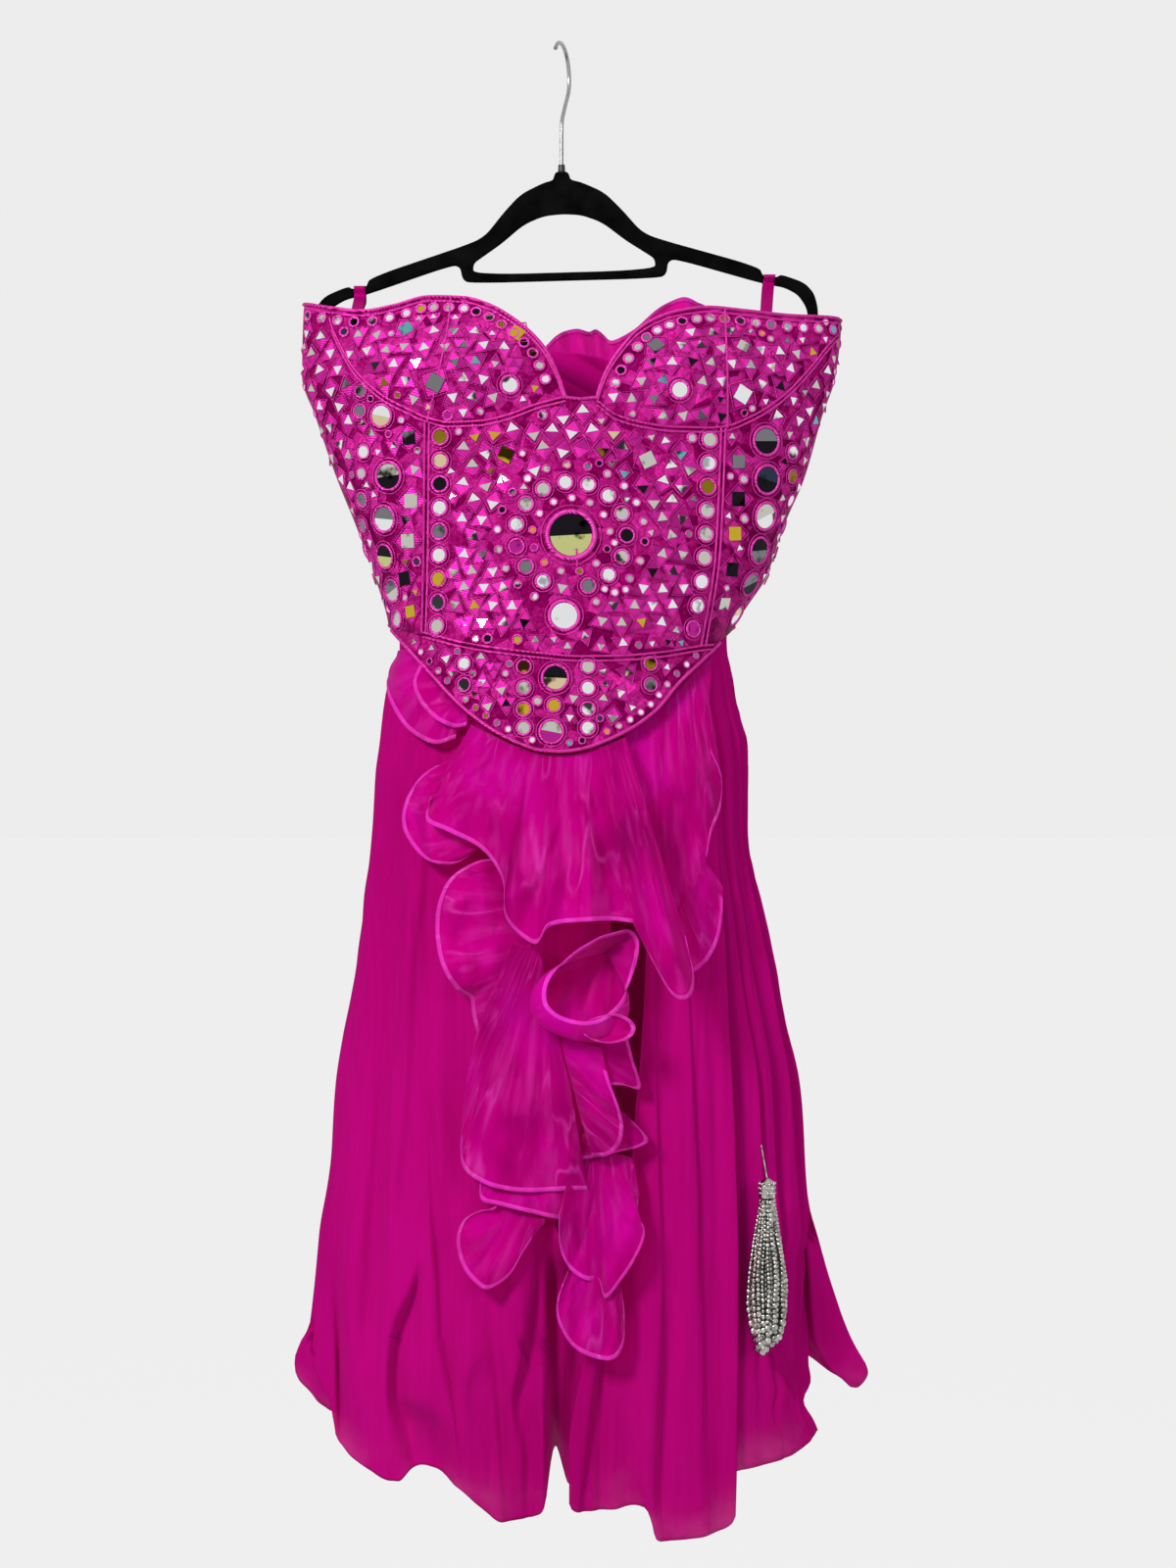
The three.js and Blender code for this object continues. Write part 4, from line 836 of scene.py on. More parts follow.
seam_cords = cords("seam_cords", seam_lines, CORD_RADIUS, couched_cord)
edge_piping = cords("edge_piping", edge_lines, PIPING_RADIUS, couched_cord)

BACK_ENDS = (SIDE_GAP, 3.12)  # angles between which the back is piped
MIDDLE_BACK = 1.57  # the angle of the back's middle


def back_top_place(angle):
    return bodice_behind(angle, float(back_neck(bodice_behind(angle, BACK_LEVEL)[0])))


def back_foot_place(angle):
    side = "right" if angle < MIDDLE_BACK else "left"
    inward = smooth((MIDDLE_BACK - abs(angle - MIDDLE_BACK)) / 0.78)
    return bodice_behind(angle, float(mix(SIDE_HEM[side], BACK_HEM, inward)))


back_angles = np.linspace(*BACK_ENDS, 120)
back_edges = [[Vector(place(angle)) for angle in back_angles] for place in (back_top_place, back_foot_place)]
back_piping = cords("back_piping", back_edges, PIPING_RADIUS, couched_cord)

# ---- Mirror work --------------------------------------------------------------------------------
RIM_SIDES = 5


def template(make):
    shape = bmesh.new()
    make(shape)
    return mesh_of(shape, "template")


def plate(sides):
    return lambda shape: bmesh.ops.create_cone(
        shape, cap_ends=True, segments=sides, radius1=1, radius2=0.95, depth=0.5
    )


def ring(steps, thick):
    def make(shape):
        bmesh.ops.create_circle(shape, segments=RIM_SIDES, radius=thick)
        bmesh.ops.rotate(shape, verts=shape.verts, matrix=Matrix.Rotation(math.pi / 2, 3, "X"))
        bmesh.ops.translate(shape, verts=shape.verts, vec=(1 + thick * 0.8, 0, 0))
        bmesh.ops.spin(shape, geom=shape.verts[:] + shape.edges[:], cent=(0, 0, 0), axis=(0, 0, 1),
                       angle=2 * math.pi, steps=steps, use_merge=True)

    return make


def half_plate(shape):
    """The left half of a round plate."""
    plate(24)(shape)
    bmesh.ops.bisect_plane(shape, geom=shape.verts[:] + shape.edges[:] + shape.faces[:], plane_co=(0, 0, 0),
                           plane_no=(1, 0, 0), clear_outer=True)
    bmesh.ops.holes_fill(shape, edges=shape.edges)


def diamond(shape):
    """A satin-stitched lozenge of four facets."""
    bmesh.ops.create_circle(shape, cap_ends=True, segments=4, radius=1)
    bmesh.ops.poke(shape, faces=shape.faces[:], offset=0.05)


def star_of_three(shape):
    """Three satin-stitched corners round a three-cornered mirror."""
    bmesh.ops.create_circle(shape, cap_ends=True, segments=3, radius=1)
    bmesh.ops.subdivide_edges(shape, edges=shape.edges[:], cuts=1, use_grid_fill=True)
    middle = [vert for vert in shape.verts if vert.co.length < 0.6]
    bmesh.ops.translate(shape, verts=middle, vec=(0, 0, 0.06))


MAKERS = {
    "round": plate(20), "small_round": plate(12), "triangle": plate(3), "square": plate(4),
    "half_round": half_plate, "diamond": diamond, "star": star_of_three,
    "ring": ring(20, 0.19), "small_ring": ring(12, 0.34), "fine_ring": ring(26, 0.12),
}
STAMPS = {name: template(make) for name, make in MAKERS.items()}
# Painted reflections: each mirror's colour stands in for the part of the room it would reflect.
PAINTED_REFLECTIONS = {
    "grey": (0.6, 0.59, 0.54), "pale": (0.86, 0.88, 0.88), "dark": (0.012, 0.011, 0.014),
    "smoke": (0.2, 0.2, 0.22), "gold": (0.62, 0.42, 0.03), "teal": (0.14, 0.45, 0.46),
    "amber": (0.8, 0.32, 0.06), "plum": (0.5, 0.02, 0.3), "lime": (0.6, 0.62, 0.25),
    "sand": (0.75, 0.6, 0.38), "night": (0.03, 0.04, 0.07), "olive": (0.25, 0.17, 0.01),
}
PAINTED_REFLECTION_ODDS = (["grey"] * 16 + ["pale"] * 15 + ["dark"] * 5 + ["smoke"] * 3 + ["olive"] * 2
             + ["gold", "teal", "amber", "plum", "sand", "night"])
GEM_ODDS = (["grey"] * 20 + ["pale"] * 25 + ["dark"] * 2 + ["smoke"] * 2
            + ["gold", "teal", "plum", "olive", "sand"])
# How far each kind of motif stands out from the bodice, in millimetres.
PATCH_LIFT, OUTLINE_LIFT, MIRROR_LIFT, GEM_LIFT, SQUARE_LIFT = 0.4, 0.5, 0.9, 1.2, 1.3


class Layer:
    """One mesh that many small shapes are stamped into."""

    def __init__(self, name, material, carries_painted_light=False, smooth_faces=True):
        self.name, self.material, self.smooth_faces = name, material, smooth_faces
        self.shape = bmesh.new()
        # The painted light attribute holds a painted reflection colour for each mirror, or a painted shade
        # for each satin facet.
        self.painted_light = self.shape.loops.layers.float_color.new("painted_light") if carries_painted_light else None

    def stamp(self, kind, matrix, painted_light=None):
        before = len(self.shape.verts), len(self.shape.faces)
        self.shape.from_mesh(STAMPS[kind])
        self.shape.verts.ensure_lookup_table()
        self.shape.faces.ensure_lookup_table()
        bmesh.ops.transform(self.shape, matrix=matrix, verts=self.shape.verts[before[0]:])
        if self.painted_light:
            for face in self.shape.faces[before[1]:]:
                # Painted light and shade: each satin facet gets its own brightness, as if it caught the light
                # differently.
                tone = handwork.uniform(0.5, 1.1)
                for loop in face.loops:
                    loop[self.painted_light] = (*(PAINTED_REFLECTIONS[painted_light] if painted_light else (tone, tone, tone)), 1)

    def close(self):
        bmesh.ops.recalc_face_normals(self.shape, faces=self.shape.faces)
        mesh = mesh_of(self.shape, self.name)
        piece = finish_object(self.name, mesh, self.material, smooth_faces=self.smooth_faces)
        return piece


mirrors = Layer("mirrors", mirror_glass, carries_painted_light=True, smooth_faces=False)
rims = Layer("mirror_rims", satin_stitch)
patches = Layer("satin_patches", satin_facets, carries_painted_light=True, smooth_faces=False)
outline_paths = []
taken = []  # place and reach of each motif


def seat(x, z, lift, size, spin=0.0, tilt=0.0, tall=None):
    """Matrix that lays a stamp on the bodice; size is its radius, or (across, up)."""
    here, across, up, out = (Vector(part) for part in bodice_frames(x, z))
    wide, high = size if isinstance(size, tuple) else (size, size)
    thick = tall or min(wide, high)
    turn = Matrix.Rotation(spin, 4, "Z") @ Matrix.Rotation(tilt, 4, "X")
    axes = Matrix((across, up, out)).transposed().to_4x4()
    stretch = Matrix.Diagonal((wide, high, thick, 1))
    return Matrix.Scale(MM, 4) @ Matrix.Translation(here + out * lift) @ axes @ turn @ stretch


def claim(x, z, reach):
    taken.append((*bodice_frames(x, z)[0], reach))


def ring_of_steps(reach, count, spin=0.0):
    angles = np.linspace(0, 2 * math.pi, count + 1)
    return [(reach * math.cos(angle + spin), reach * math.sin(angle + spin)) for angle in angles]


def wobble():
    return math.radians(handwork.uniform(-2.5, 2.5))


def round_mirror(x, z, radius, painted_light=None):
    """A round mirror in a satin ring, with a painted reflection colour; a pair of colours gives it a lower
    and an upper half.
    """
    painted_light = painted_light or handwork.choice(PAINTED_REFLECTION_ODDS)
    small = radius < 4
    tilt = wobble()
    if isinstance(painted_light, tuple):
        lean = handwork.uniform(-0.5, 0.5)
        for half, turn in zip(painted_light, (math.pi / 2, -math.pi / 2)):
            mirrors.stamp("half_round", seat(x, z, MIRROR_LIFT, radius, turn + lean, 0, 1.0), half)
    else:
        shape = "small_round" if small else "round"
        mirrors.stamp(shape, seat(x, z, MIRROR_LIFT, radius, 0, tilt, 1.0), painted_light)
    rim = "small_ring" if small else "ring" if radius < 8 else "fine_ring"
    rims.stamp(rim, seat(x, z, MIRROR_LIFT, radius, handwork.uniform(0, 1)))
    claim(x, z, radius * (1.8 if small else 1.5))
    if radius >= 4.5:
        reach = radius * (1.36 if radius > 8 else 1.55) + 0.5
        outline_paths.append(lay_round(x, z, ring_of_steps(reach, 20), OUTLINE_LIFT))


def outline(x, z, corners, spin):
    turned_corners = [(a * math.cos(spin) - b * math.sin(spin), a * math.sin(spin) + b * math.cos(spin))
                      for a, b in corners + corners[:1]]
    outline_paths.append(lay_round(x, z, turned_corners, OUTLINE_LIFT))


def gem(x, z, size, spin):
    """A three-cornered mirror among three satin corners, with a couched line round them."""
    painted_light = handwork.choice(GEM_ODDS)
    patches.stamp("star", seat(x, z, PATCH_LIFT, size * 1.22, spin + math.pi, 0, size))
    mirrors.stamp("triangle", seat(x, z, GEM_LIFT, size * 0.62, spin, wobble(), 1.0), painted_light)
    outline(x, z, ring_of_steps(size * 1.42, 3, -math.pi / 2)[:-1], spin)
    claim(x, z, size * 1.04)


def lozenge_gem(x, z, size, spin):
    """A three-cornered mirror that fills the upper half of a satin-stitched lozenge."""
    painted_light = handwork.choice(GEM_ODDS)
    patches.stamp("diamond", seat(x, z, PATCH_LIFT, (size * 0.8, size), spin, 0, size))
    shift = size * 0.33
    mirrors.stamp("triangle", seat(x - shift * math.sin(spin), z + shift * math.cos(spin), GEM_LIFT,
                                   (size * 0.72, size * 0.58), spin, wobble(), 1.0), painted_light)
    outline(x, z, [(0, size * 1.2), (-size, 0), (0, -size * 1.2), (size, 0)], spin)
    claim(x, z, size)


def square_mirror(x, z, half, spin, painted_light=None):
    """A square mirror set corner-wise in a lozenge of four satin points."""
    painted_light = painted_light or handwork.choice(PAINTED_REFLECTION_ODDS)
    patches.stamp("diamond", seat(x, z, PATCH_LIFT, half * 1.95, spin, 0, half))
    mirrors.stamp("square", seat(x, z, SQUARE_LIFT, half * 1.41, spin + math.pi / 4, wobble(), 1.0), painted_light)
    outline(x, z, ring_of_steps(half * 2.25, 4)[:-1], spin)
    claim(x, z, half * 1.7)


def is_free(x, z, reach):
    others = np.array(taken)
    gap = np.linalg.norm(others[:, :3] - bodice_frames(x, z)[0], axis=1) - others[:, 3]
    return gap.min() > reach


# Medallion on the centre front, the one below it, and rings of mirrors: count, reach, radius, start.
MEDALLION = (8.5, -418)
MEDALLION_RINGS = [(13, 30, 2.3, 0.1), (15, 43, 5.2, 0.0), (22, 57, 2.5, 0.2)]
round_mirror(*MEDALLION, 17.5, ("lime", "dark"))
round_mirror(3, -483, 11, ("pale", "pale"))
for count, reach, radius, start in MEDALLION_RINGS:
    for i in range(count):
        angle = start + 2 * math.pi * i / count
        x, z = MEDALLION[0] + reach * math.cos(angle) * 1.04, MEDALLION[1] + reach * math.sin(angle)
        if is_free(x, z, radius * 1.5):
            round_mirror(x, z, radius)


CORNER_X, CORNER_Z = -215, -216  # outer end of the left neckline
STRAIGHT_TO = -190  # the neckline runs straight from there to this x


def neck_height(neck, x):
    if x > STRAIGHT_TO:
        return float(neck(x))
    share = (x - CORNER_X) / (STRAIGHT_TO - CORNER_X)
    return float(mix(CORNER_Z, float(neck(STRAIGHT_TO)), share))


def evenly(line, count):
    """Even steps along a line of places, and a way to read the place at a distance along it."""
    run = np.concatenate([[0], np.cumsum(np.hypot(*np.diff(line, axis=0).T))])

    def at(distance):
        return np.array([np.interp(distance, run, column) for column in line.T])

    return np.linspace(0, run[-1], count), at


# Rows of small mirrors inside the neckline.
NECK_INSET = 11
for neck, start, end, count in ((neck_left, -207, -2, 19), (neck_right, 34, 224, 18)):
    steps, at = evenly(np.array([(x, neck_height(neck, x)) for x in np.linspace(start, end, 400)]), count)
    for s in steps:
        ahead = at(s + 2) - at(s - 2)
        ahead = ahead / np.hypot(*ahead)
        x, z = at(s)
        round_mirror(x + NECK_INSET * ahead[1], z - NECK_INSET * ahead[0], 3.2)

# Columns beside the long seams.
for z in np.linspace(-337, -490, 9):
    round_mirror(float(princess_left(z)) + 11, float(z), 5.6)
    round_mirror(float(princess_right(z)) - 11, float(z) - 2, 5.6)

# Side fronts: large rounds, squares in lozenges and medium rounds towards the side.
LARGE_ROUNDS = [  # x, z, radius, painted reflection colour
    (-146, -318, 8.5, ("sand", "pale")), (-140, -367, 10.4, ("dark", "grey")),
    (-144, -401, 9.9, ("pale", "smoke")), (-144, -431, 9, ("lime", "dark")),
    (-138, -459, 8.4, ("grey", "smoke")), (-134, -482, 6, None),
    (167, -338, 10.6, ("dark", "smoke")), (168, -369, 10.6, ("dark", "night")),
    (167, -398, 10.4, ("pale", "grey")), (162, -426, 9.8, ("smoke", "dark")),
    (155, -453, 9, ("dark", "smoke")), (144, -478, 8, ("pale", "sand")),
]
SIDE_SQUARES = [  # x, z, half width, painted reflection colour
    (-123, -337, 5.4, "smoke"), (-121, -388, 6, "grey"), (-124, -420, 6, "grey"), (-127, -450, 5.6, "dark"),
    (-122, -477, 5, "gold"),
    (144, -356, 5.6, "smoke"), (144, -386, 5.8, "dark"), (141, -414, 5.8, "gold"), (139, -443, 5.6, "dark"),
    (133, -470, 5.2, "grey"),
]
OUTER_ROUNDS = [  # x, z, radius
    (-163, -297, 4.6), (-164, -313, 4.8), (-161, -346, 5), (-163, -363, 4.2), (-163, -384, 5.2),
    (-163, -404, 4.8), (-162, -424, 4.6), (-156, -446, 4),
    (190, -345, 5), (190, -364, 5), (189, -383, 4.8), (184, -404, 4.6), (182, -424, 4.2), (175, -446, 4),
]
for x, z, radius, painted_light in LARGE_ROUNDS:
    round_mirror(x, z, radius, painted_light)
for x, z, half, painted_light in SIDE_SQUARES:
    square_mirror(x, z, half, handwork.uniform(-0.1, 0.1), painted_light)
for x, z, radius in OUTER_ROUNDS:
    round_mirror(x, z, radius)

# Larger mirrors in the cups and beside the medallion.
for x, z, half in ((-126, -247, 5.4), (-36, -252, 5.8), (-101, -294, 6.6), (77, -263, 5.4), (148, -262, 4.6),
                   (147, -302, 6.4), (-44, -352, 5.8), (70, -356, 6)):
    square_mirror(x, z, half, handwork.uniform(-0.35, 0.35) + math.pi / 4)
for x, z in ((-41, -296), (96, -300)):
    round_mirror(x, z, 6.4, "pale")

# The hem band: a stack of mirrors in the middle, columns either side and a row along the edge.
round_mirror(-4, -533, 9.6, ("sand", "dark"))
round_mirror(-7, -576, 8.6, ("plum", "grey"))
round_mirror(-5, -555, 4.8, "gold")
for x in (-29, 22):
    for z in (-524, -541, -558, -573):
        round_mirror(x, z, 5)
for x in (-77, 72):
    for z in (-521, -538):
        round_mirror(x, z, 4.8)
HEM_INSET = 7
steps, at = evenly(np.array(along(hem_line, -118, 114, 400)), 27)
for s in steps:
    x, z = at(s)
    slope = float(hem_line(x + 1) - hem_line(x - 1)) / 2
    size = math.hypot(1, slope)
    inset_x, inset_z = x - HEM_INSET * slope / size, z + HEM_INSET / size
    if is_free(inset_x, inset_z, 3):
        round_mirror(inset_x, inset_z, 2.1)


AMPLE = 20  # more room than any motif needs
TURNED_AWAY = 2.6  # how much more cloth there is towards the sides than shows from the front


def panel_room(x, z):
    """Distance in millimetres from a place to the nearest seam or edge, and its panel's name."""
    if CUP_SEAM_LEFT[0][0] < x < NOTCH_LEFT and z > cup_seam_left(x):
        return min(z - cup_seam_left(x), neck_left(x) - z), "cup"
    if NOTCH_RIGHT < x < CUP_SEAM_RIGHT[-1][0] and z > cup_seam_right(x):
        return min(z - cup_seam_right(x), neck_right(x) - z), "cup"
    if z < waist_seam(x) and -128 < x < 124:
        return min(waist_seam(x) - z, z - hem_line(x)), "band"
    if princess_left(z) < x < princess_right(z):
        cup_seam = cup_seam_left if x < NOTCH_MIDDLE else cup_seam_right
        top = NOTCH_Z if NOTCH_LEFT <= x <= NOTCH_RIGHT else cup_seam(x)
        return min(top - z, z - waist_seam(x), x - princess_left(z), princess_right(z) - x), "centre"
    if z < SIDE_HEM["left"] + 6 or z > SIDE_TOP["right"] - 8:
        return -1, "side"
    if x < 0:
        seam = cup_seam_left(x) - z if x > CUP_SEAM_LEFT[0][0] else AMPLE
        return min(TURNED_AWAY * (x - bodice_left(z)), seam, princess_left(z) - x, AMPLE), "side"
    seam = cup_seam_right(x) - z if x < 229 else AMPLE
    return min(TURNED_AWAY * (bodice_right(z) - x), seam, x - princess_right(z), AMPLE), "side"


def set_gem(x, z, size, panel, turned_over):
    """Lozenges over the middle and the sides, three-cornered motifs elsewhere."""
    spin = handwork.uniform(-0.3, 0.3) + (math.pi if turned_over else 0)
    upper_middle = panel == "centre" and z > -400
    if upper_middle or (panel in ("side", "band") and handwork.random() < 0.6):
        lozenge_gem(x, z, size, spin)
    else:
        gem(x, z, size, spin)


# Gems in staggered rows over the cups, then wherever else there is room for one.
spots = []
for row, z in enumerate(np.arange(-236, -500, -14)):
    for column, x in enumerate(np.arange(-206, 226, 16)):
        staggered = x + (row % 2) * 8
        spots.append((staggered + handwork.uniform(-1.3, 1.3), z + handwork.uniform(-1.3, 1.3), column % 2))
for x, z, turned_over in spots:
    room, panel = panel_room(x, z)
    if room > 8.5 and is_free(x, z, 5.4):
        set_gem(x, z, 8.4, panel, turned_over)


def anywhere(lowest, highest):
    """A place picked evenly round the front, so the turned-back sides are filled too."""
    z = handwork.uniform(lowest, highest)
    angle = handwork.uniform(0.04, math.pi - 0.04)
    return float(bodice_around(angle, z)[0]), z


GEM_TRIES, MIRROR_TRIES = 2200, 2600
LOWEST = -588
for size in (7.2, 6.2, 5.2):
    for _ in range(GEM_TRIES):
        x, z = anywhere(LOWEST, -232)
        room, panel = panel_room(x, z)
        if room > size + 1.5 and is_free(x, z, size * 0.8):
            set_gem(x, z, size, panel, handwork.random() < 0.5)
for radius in (3.0, 2.2):
    for _ in range(MIRROR_TRIES):
        x, z = anywhere(LOWEST, -226)
        room, panel = panel_room(x, z)
        if room > radius * 1.8 + 1.5 and is_free(x, z, radius * 1.6):
            round_mirror(x, z, radius)

for layer in (mirrors, rims, patches):
    layer.close()
outlines = cords("couched_outlines", outline_paths, OUTLINE_RADIUS, couched_cord, 0)

# ---- Skirt --------------------------------------------------------------------------------------
# Each fold: which side is sharp (right above zero), then rows of height, x, width and depth.
FOLDS_LEFT = [
    (0.3, [(-560, -138, 12, 0), (-800, -160, 11, 4), (-1040, -178, 10, 5), (-1170, -186, 9, 3)]),
    (-0.55, [(-1010, -191, 4, 0), (-1050, -187.5, 5, 5), (-1090, -183.5, 6.5, 10), (-1134, -180, 8, 12),
             (-1165, -176, 9, 8)]),
    (-0.55, [(-1000, -116, 3, 0), (-1025, -121, 4, 8), (-1060, -130, 7, 13), (-1092, -133.8, 7, 14),
             (-1112, -133.2, 8, 15), (-1134, -125.5, 13, 19), (-1160, -117, 16, 16), (-1180, -112, 16, 8)]),
    (-0.6, [(-860, -110, 4, 0), (-925, -105, 7, 6), (-1010, -98, 8, 8), (-1060, -95, 8, 9),
            (-1100, -87, 8, 9), (-1135, -79, 9, 8), (-1195, -71, 12, 6)]),
    (-0.5, [(-1070, -62, 5, 0), (-1110, -70, 7, 5), (-1150, -60, 8, 5), (-1190, -48, 9, 0)]),
    (-0.5, [(-560, -92, 6, 0), (-760, -112, 7, 4.5), (-900, -124, 8, 5), (-1000, -134, 7, 0)]),
    (-0.3, [(-540, -64, 10, 0), (-700, -80, 11, 4), (-880, -88, 11, 5), (-980, -84, 9, 0)]),
    (-0.6, [(-950, -24, 4, 0), (-1010, -20, 5, 7), (-1085, -28, 6, 9), (-1112, -33, 7, 9),
            (-1160, -25, 8, 8), (-1208, -25, 8, 5)]),
    (-0.6, [(-1035, -60, 4, 0), (-1100, -54, 6, 5), (-1160, -47, 8, 8), (-1210, -41, 10, 7)]),
    (-0.5, [(-700, -136, 6, 0), (-850, -146, 7, 5), (-980, -156, 7, 7), (-1040, -160, 7, 5),
            (-1100, -163, 8, 0)]),
    (0.4, [(-1080, -103, 4, 0), (-1145, -104, 8, 5), (-1185, -102, 9, 8)]),
]
FOLDS_RIGHT = [
    (-0.6, [(-520, 66, 4, 0), (-700, 72, 6, 5), (-900, 68, 7, 8), (-1000, 52, 7, 8), (-1100, 32, 7, 8),
            (-1195, 20, 7, 5)]),
    (-0.5, [(-560, 80, 6, 0), (-800, 86, 8, 7), (-1000, 88, 9, 7), (-1060, 86, 9, 5), (-1150, 82, 8, 0)]),
    (0.8, [(-1075, 49, 3, 0), (-1130, 54, 6, 6), (-1169, 58, 8, 10), (-1200, 66, 8, 12), (-1226, 72, 8, 12)]),
    (0.5, [(-1010, 97, 4, 0), (-1070, 95, 5, 6), (-1109, 91, 6, 7), (-1187, 84, 7, 4), (-1226, 81, 7, 0)]),
    (-0.4, [(-600, 102, 6, 0), (-800, 112, 7, 6), (-1000, 121, 8, 5), (-1215, 126, 9, 4)]),
    (0.4, [(-620, 116, 4, 0), (-900, 131, 4, 5), (-1100, 136, 5, 5), (-1215, 137, 5, 3)]),
    (-0.4, [(-1030, 40, 4, 0), (-1110, 37, 6, 5), (-1205, 34, 7, 6)]),
]
FOLDS_SIDE = [(-0.6, [(-1060, 168, 3, 0), (-1085, 178, 5, 7), (-1120, 200, 6, 6), (-1150, 216, 6, 0)])]


def fold_depth(folds, x, z):
    """How deep the folds are at a place."""
    total = 0
    for sharp, rows in folds:
        middle, width, depth = (curve(rows, column)(z) for column in (1, 2, 3))
        depth = depth**2 / (depth + 1)  # each fold starts and ends softly
        off = x - middle - 1.5 * np.sin(z / 60 + middle[0])
        steep, soft = width * (1 - 0.7 * abs(sharp)), width * (1 + 1.2 * abs(sharp))
        total = total + depth * hump(off, np.where(off * sharp > 0, steep, soft))
    return total


def sink(x, y, z, depth):
    """Moves a place towards the dress's upright axis."""
    reach = np.hypot(x, y)
    return x * (1 - depth / reach), y * (1 - depth / reach), z


NEAR_HEM = -1170.0  # a height near every part of the front hem


def front_panel(left_edge, right_edge, hem, relief, inside=lambda z: 0.0):
    """A front of the skirt; relief gives how deep it sinks at a place, and how far straight back."""

    def place(u, v):
        """The height that each column of the cloth hangs down to is found in two steps."""

        def at_height(z):
            angle = mix(skirt_angle(left_edge(z), z), skirt_angle(right_edge(z), z), u)
            x, y, z = skirt_around(angle, z, inside(z))
            depth, back = relief(x, z, u)
            x, y, z = sink(x, y, z, depth)
            return x, y + back, z

        foot = at_height(np.full(u.shape, NEAR_HEM))[0]
        foot = at_height(hem(foot))[0]
        return at_height(mix(SKIRT_TOP, hem(foot), 1 - v))

    return place


def gathers(x, z, seed, strength=1.0):
    """Fine gathers that leave the waist and soften towards the hem, and soft uneven waves."""
    down = (SKIRT_TOP - z) / 700
    fine = ripple(x, z, (9, 900), seed, 6) * mix(0.8, 0.25, smooth(down * 1.4))
    broad = ripple(x, z, (55, 420), seed + 1) * 3.0 * smooth(down * 2)
    small = ripple(x, z, (30, 110), seed + 2, 6) * 0.8 * smooth(down * 3)
    return strength * (fine + broad + small) + 1.2


def pleat(count, share, start=0.0):
    """Even pleats between 0 and 1."""
    return 0.5 - 0.5 * np.cos(2 * np.pi * count * share + start)


def left_relief(x, z, _):
    turned_back = 24 * smooth((x + 15) / 9) * smooth((-975 - z) / 50)
    return gathers(x, z, 21) + turned_back, fold_depth(FOLDS_LEFT, x, z)


def right_relief(x, z, _):
    return fold_depth(FOLDS_RIGHT, x, z) + gathers(x, z, 31, 0.8), 0


def side_relief(x, z, u):
    """Close uneven pleats that open towards the hem."""
    grown = smooth((z - SKIRT_TOP) / -160)
    share = u + 0.022 * np.sin(17 * u + z / 120) + 0.012 * np.sin(41 * u + 2)
    wave = pleat(6, share)
    fine = pleat(17, share + 0.01 * np.sin(z / 90))
    uneven = mix(0.55, 1.1, 0.5 + 0.5 * np.sin(21 * u + z / 240))
    depth = 9.5 * uneven * wave**0.8 + 3.4 * fine * mix(1, 0.35, smooth((SKIRT_TOP - z) / 600))
    opened = 1 - 0.85 * smooth((-1010 - z) / 130)
    pleats = depth * opened * grown * smooth(u * 8)
    return pleats + gathers(x, z, 41, 0.6) + fold_depth(FOLDS_SIDE, x, z), 0


def under_layer(z):
    """How far the side panel lies inside the fronts."""
    return mix(1.9, 7.0, smooth((z - SKIRT_TOP) / (-620 - SKIRT_TOP)))


def back_panel(side):
    """A back half of the skirt, whose lower side corner swings forward past the front."""

    def place(u, v):
        edge, turn = SIDE_SEAMS[side]
        angle = mix(edge, np.pi / 2 - turn * 0.001, u)
        hem = curve(HEM_BACK)(oval(HEM_BACK[0][0], HEM_BACK[-1][0], 80, angle)[0])
        z = mix(SKIRT_TOP, hem, 1 - v)
        x, y = oval(skirt_back_left(z), skirt_back_right(z), skirt_rear(z), angle)
        beyond = turn * (x - curve(SWINGS[side])(z))
        swung = smooth(beyond / 6 + 1) * smooth((SWING_TOP[side] - z) / 32)
        y = mix(-y, SWUNG_Y + 0.5 * np.maximum(beyond, 0), swung)
        grown = smooth((z - SKIRT_TOP) / -300)
        share = u + 0.02 * np.sin(11 * u + z / 160)
        wave = pleat(4, share)
        crease = pleat(11, share, 0.8)
        depth = (12 * wave + 3 * crease) * grown + gathers(x, z, 51, 0.8)
        return sink(x, y, z, depth * smooth((1 - u) * 30) * (1 - swung))

    return place


side_inner, side_outer = curve(SIDE_RIGHT_INNER), curve(SIDE_RIGHT_OUTER)
front_left_outer, slit_left = curve(FRONT_LEFT_PANEL, 1), curve(FRONT_LEFT_PANEL, 2)
slit_right, free_edge = curve(FRONT_RIGHT_PANEL, 1), curve(FRONT_RIGHT_PANEL, 2)
SIDE_SEAM_FOOT = -990  # above this the front and back layers meet at the sides


def outer_left(z):
    return np.where(z > SIDE_SEAM_FOOT, skirt_left(z) + 0.05, front_left_outer(z))


def outer_right(z):
    return np.where(z > SIDE_SEAM_FOOT, skirt_right(z) - 0.05, side_outer(z))


CHIFFON, ORGANZA = 0.7, 0.35  # how thick they are
SKIRT_PIECES = [  # name, places, grid
    ("skirt_front_left",
     front_panel(outer_left, slit_left, curve(HEM_FRONT_LEFT), left_relief), (170, 220)),
    ("skirt_front_right",
     front_panel(slit_right, free_edge, curve(HEM_FRONT_RIGHT), right_relief), (90, 190)),
    ("skirt_side_right",
     front_panel(side_inner, outer_right, curve(HEM_SIDE_RIGHT), side_relief, under_layer), (130, 150)),
    ("skirt_back_left", back_panel("left"), (110, 90)),
    ("skirt_back_right", back_panel("right"), (110, 90)),
]
for name, place, grid in SKIRT_PIECES:
    outward = BACKWARD if "back" in name else FORWARD
    panel = cloth(name + "_chiffon", place, *grid, (chiffon,), CHIFFON, outward)
    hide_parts(name)

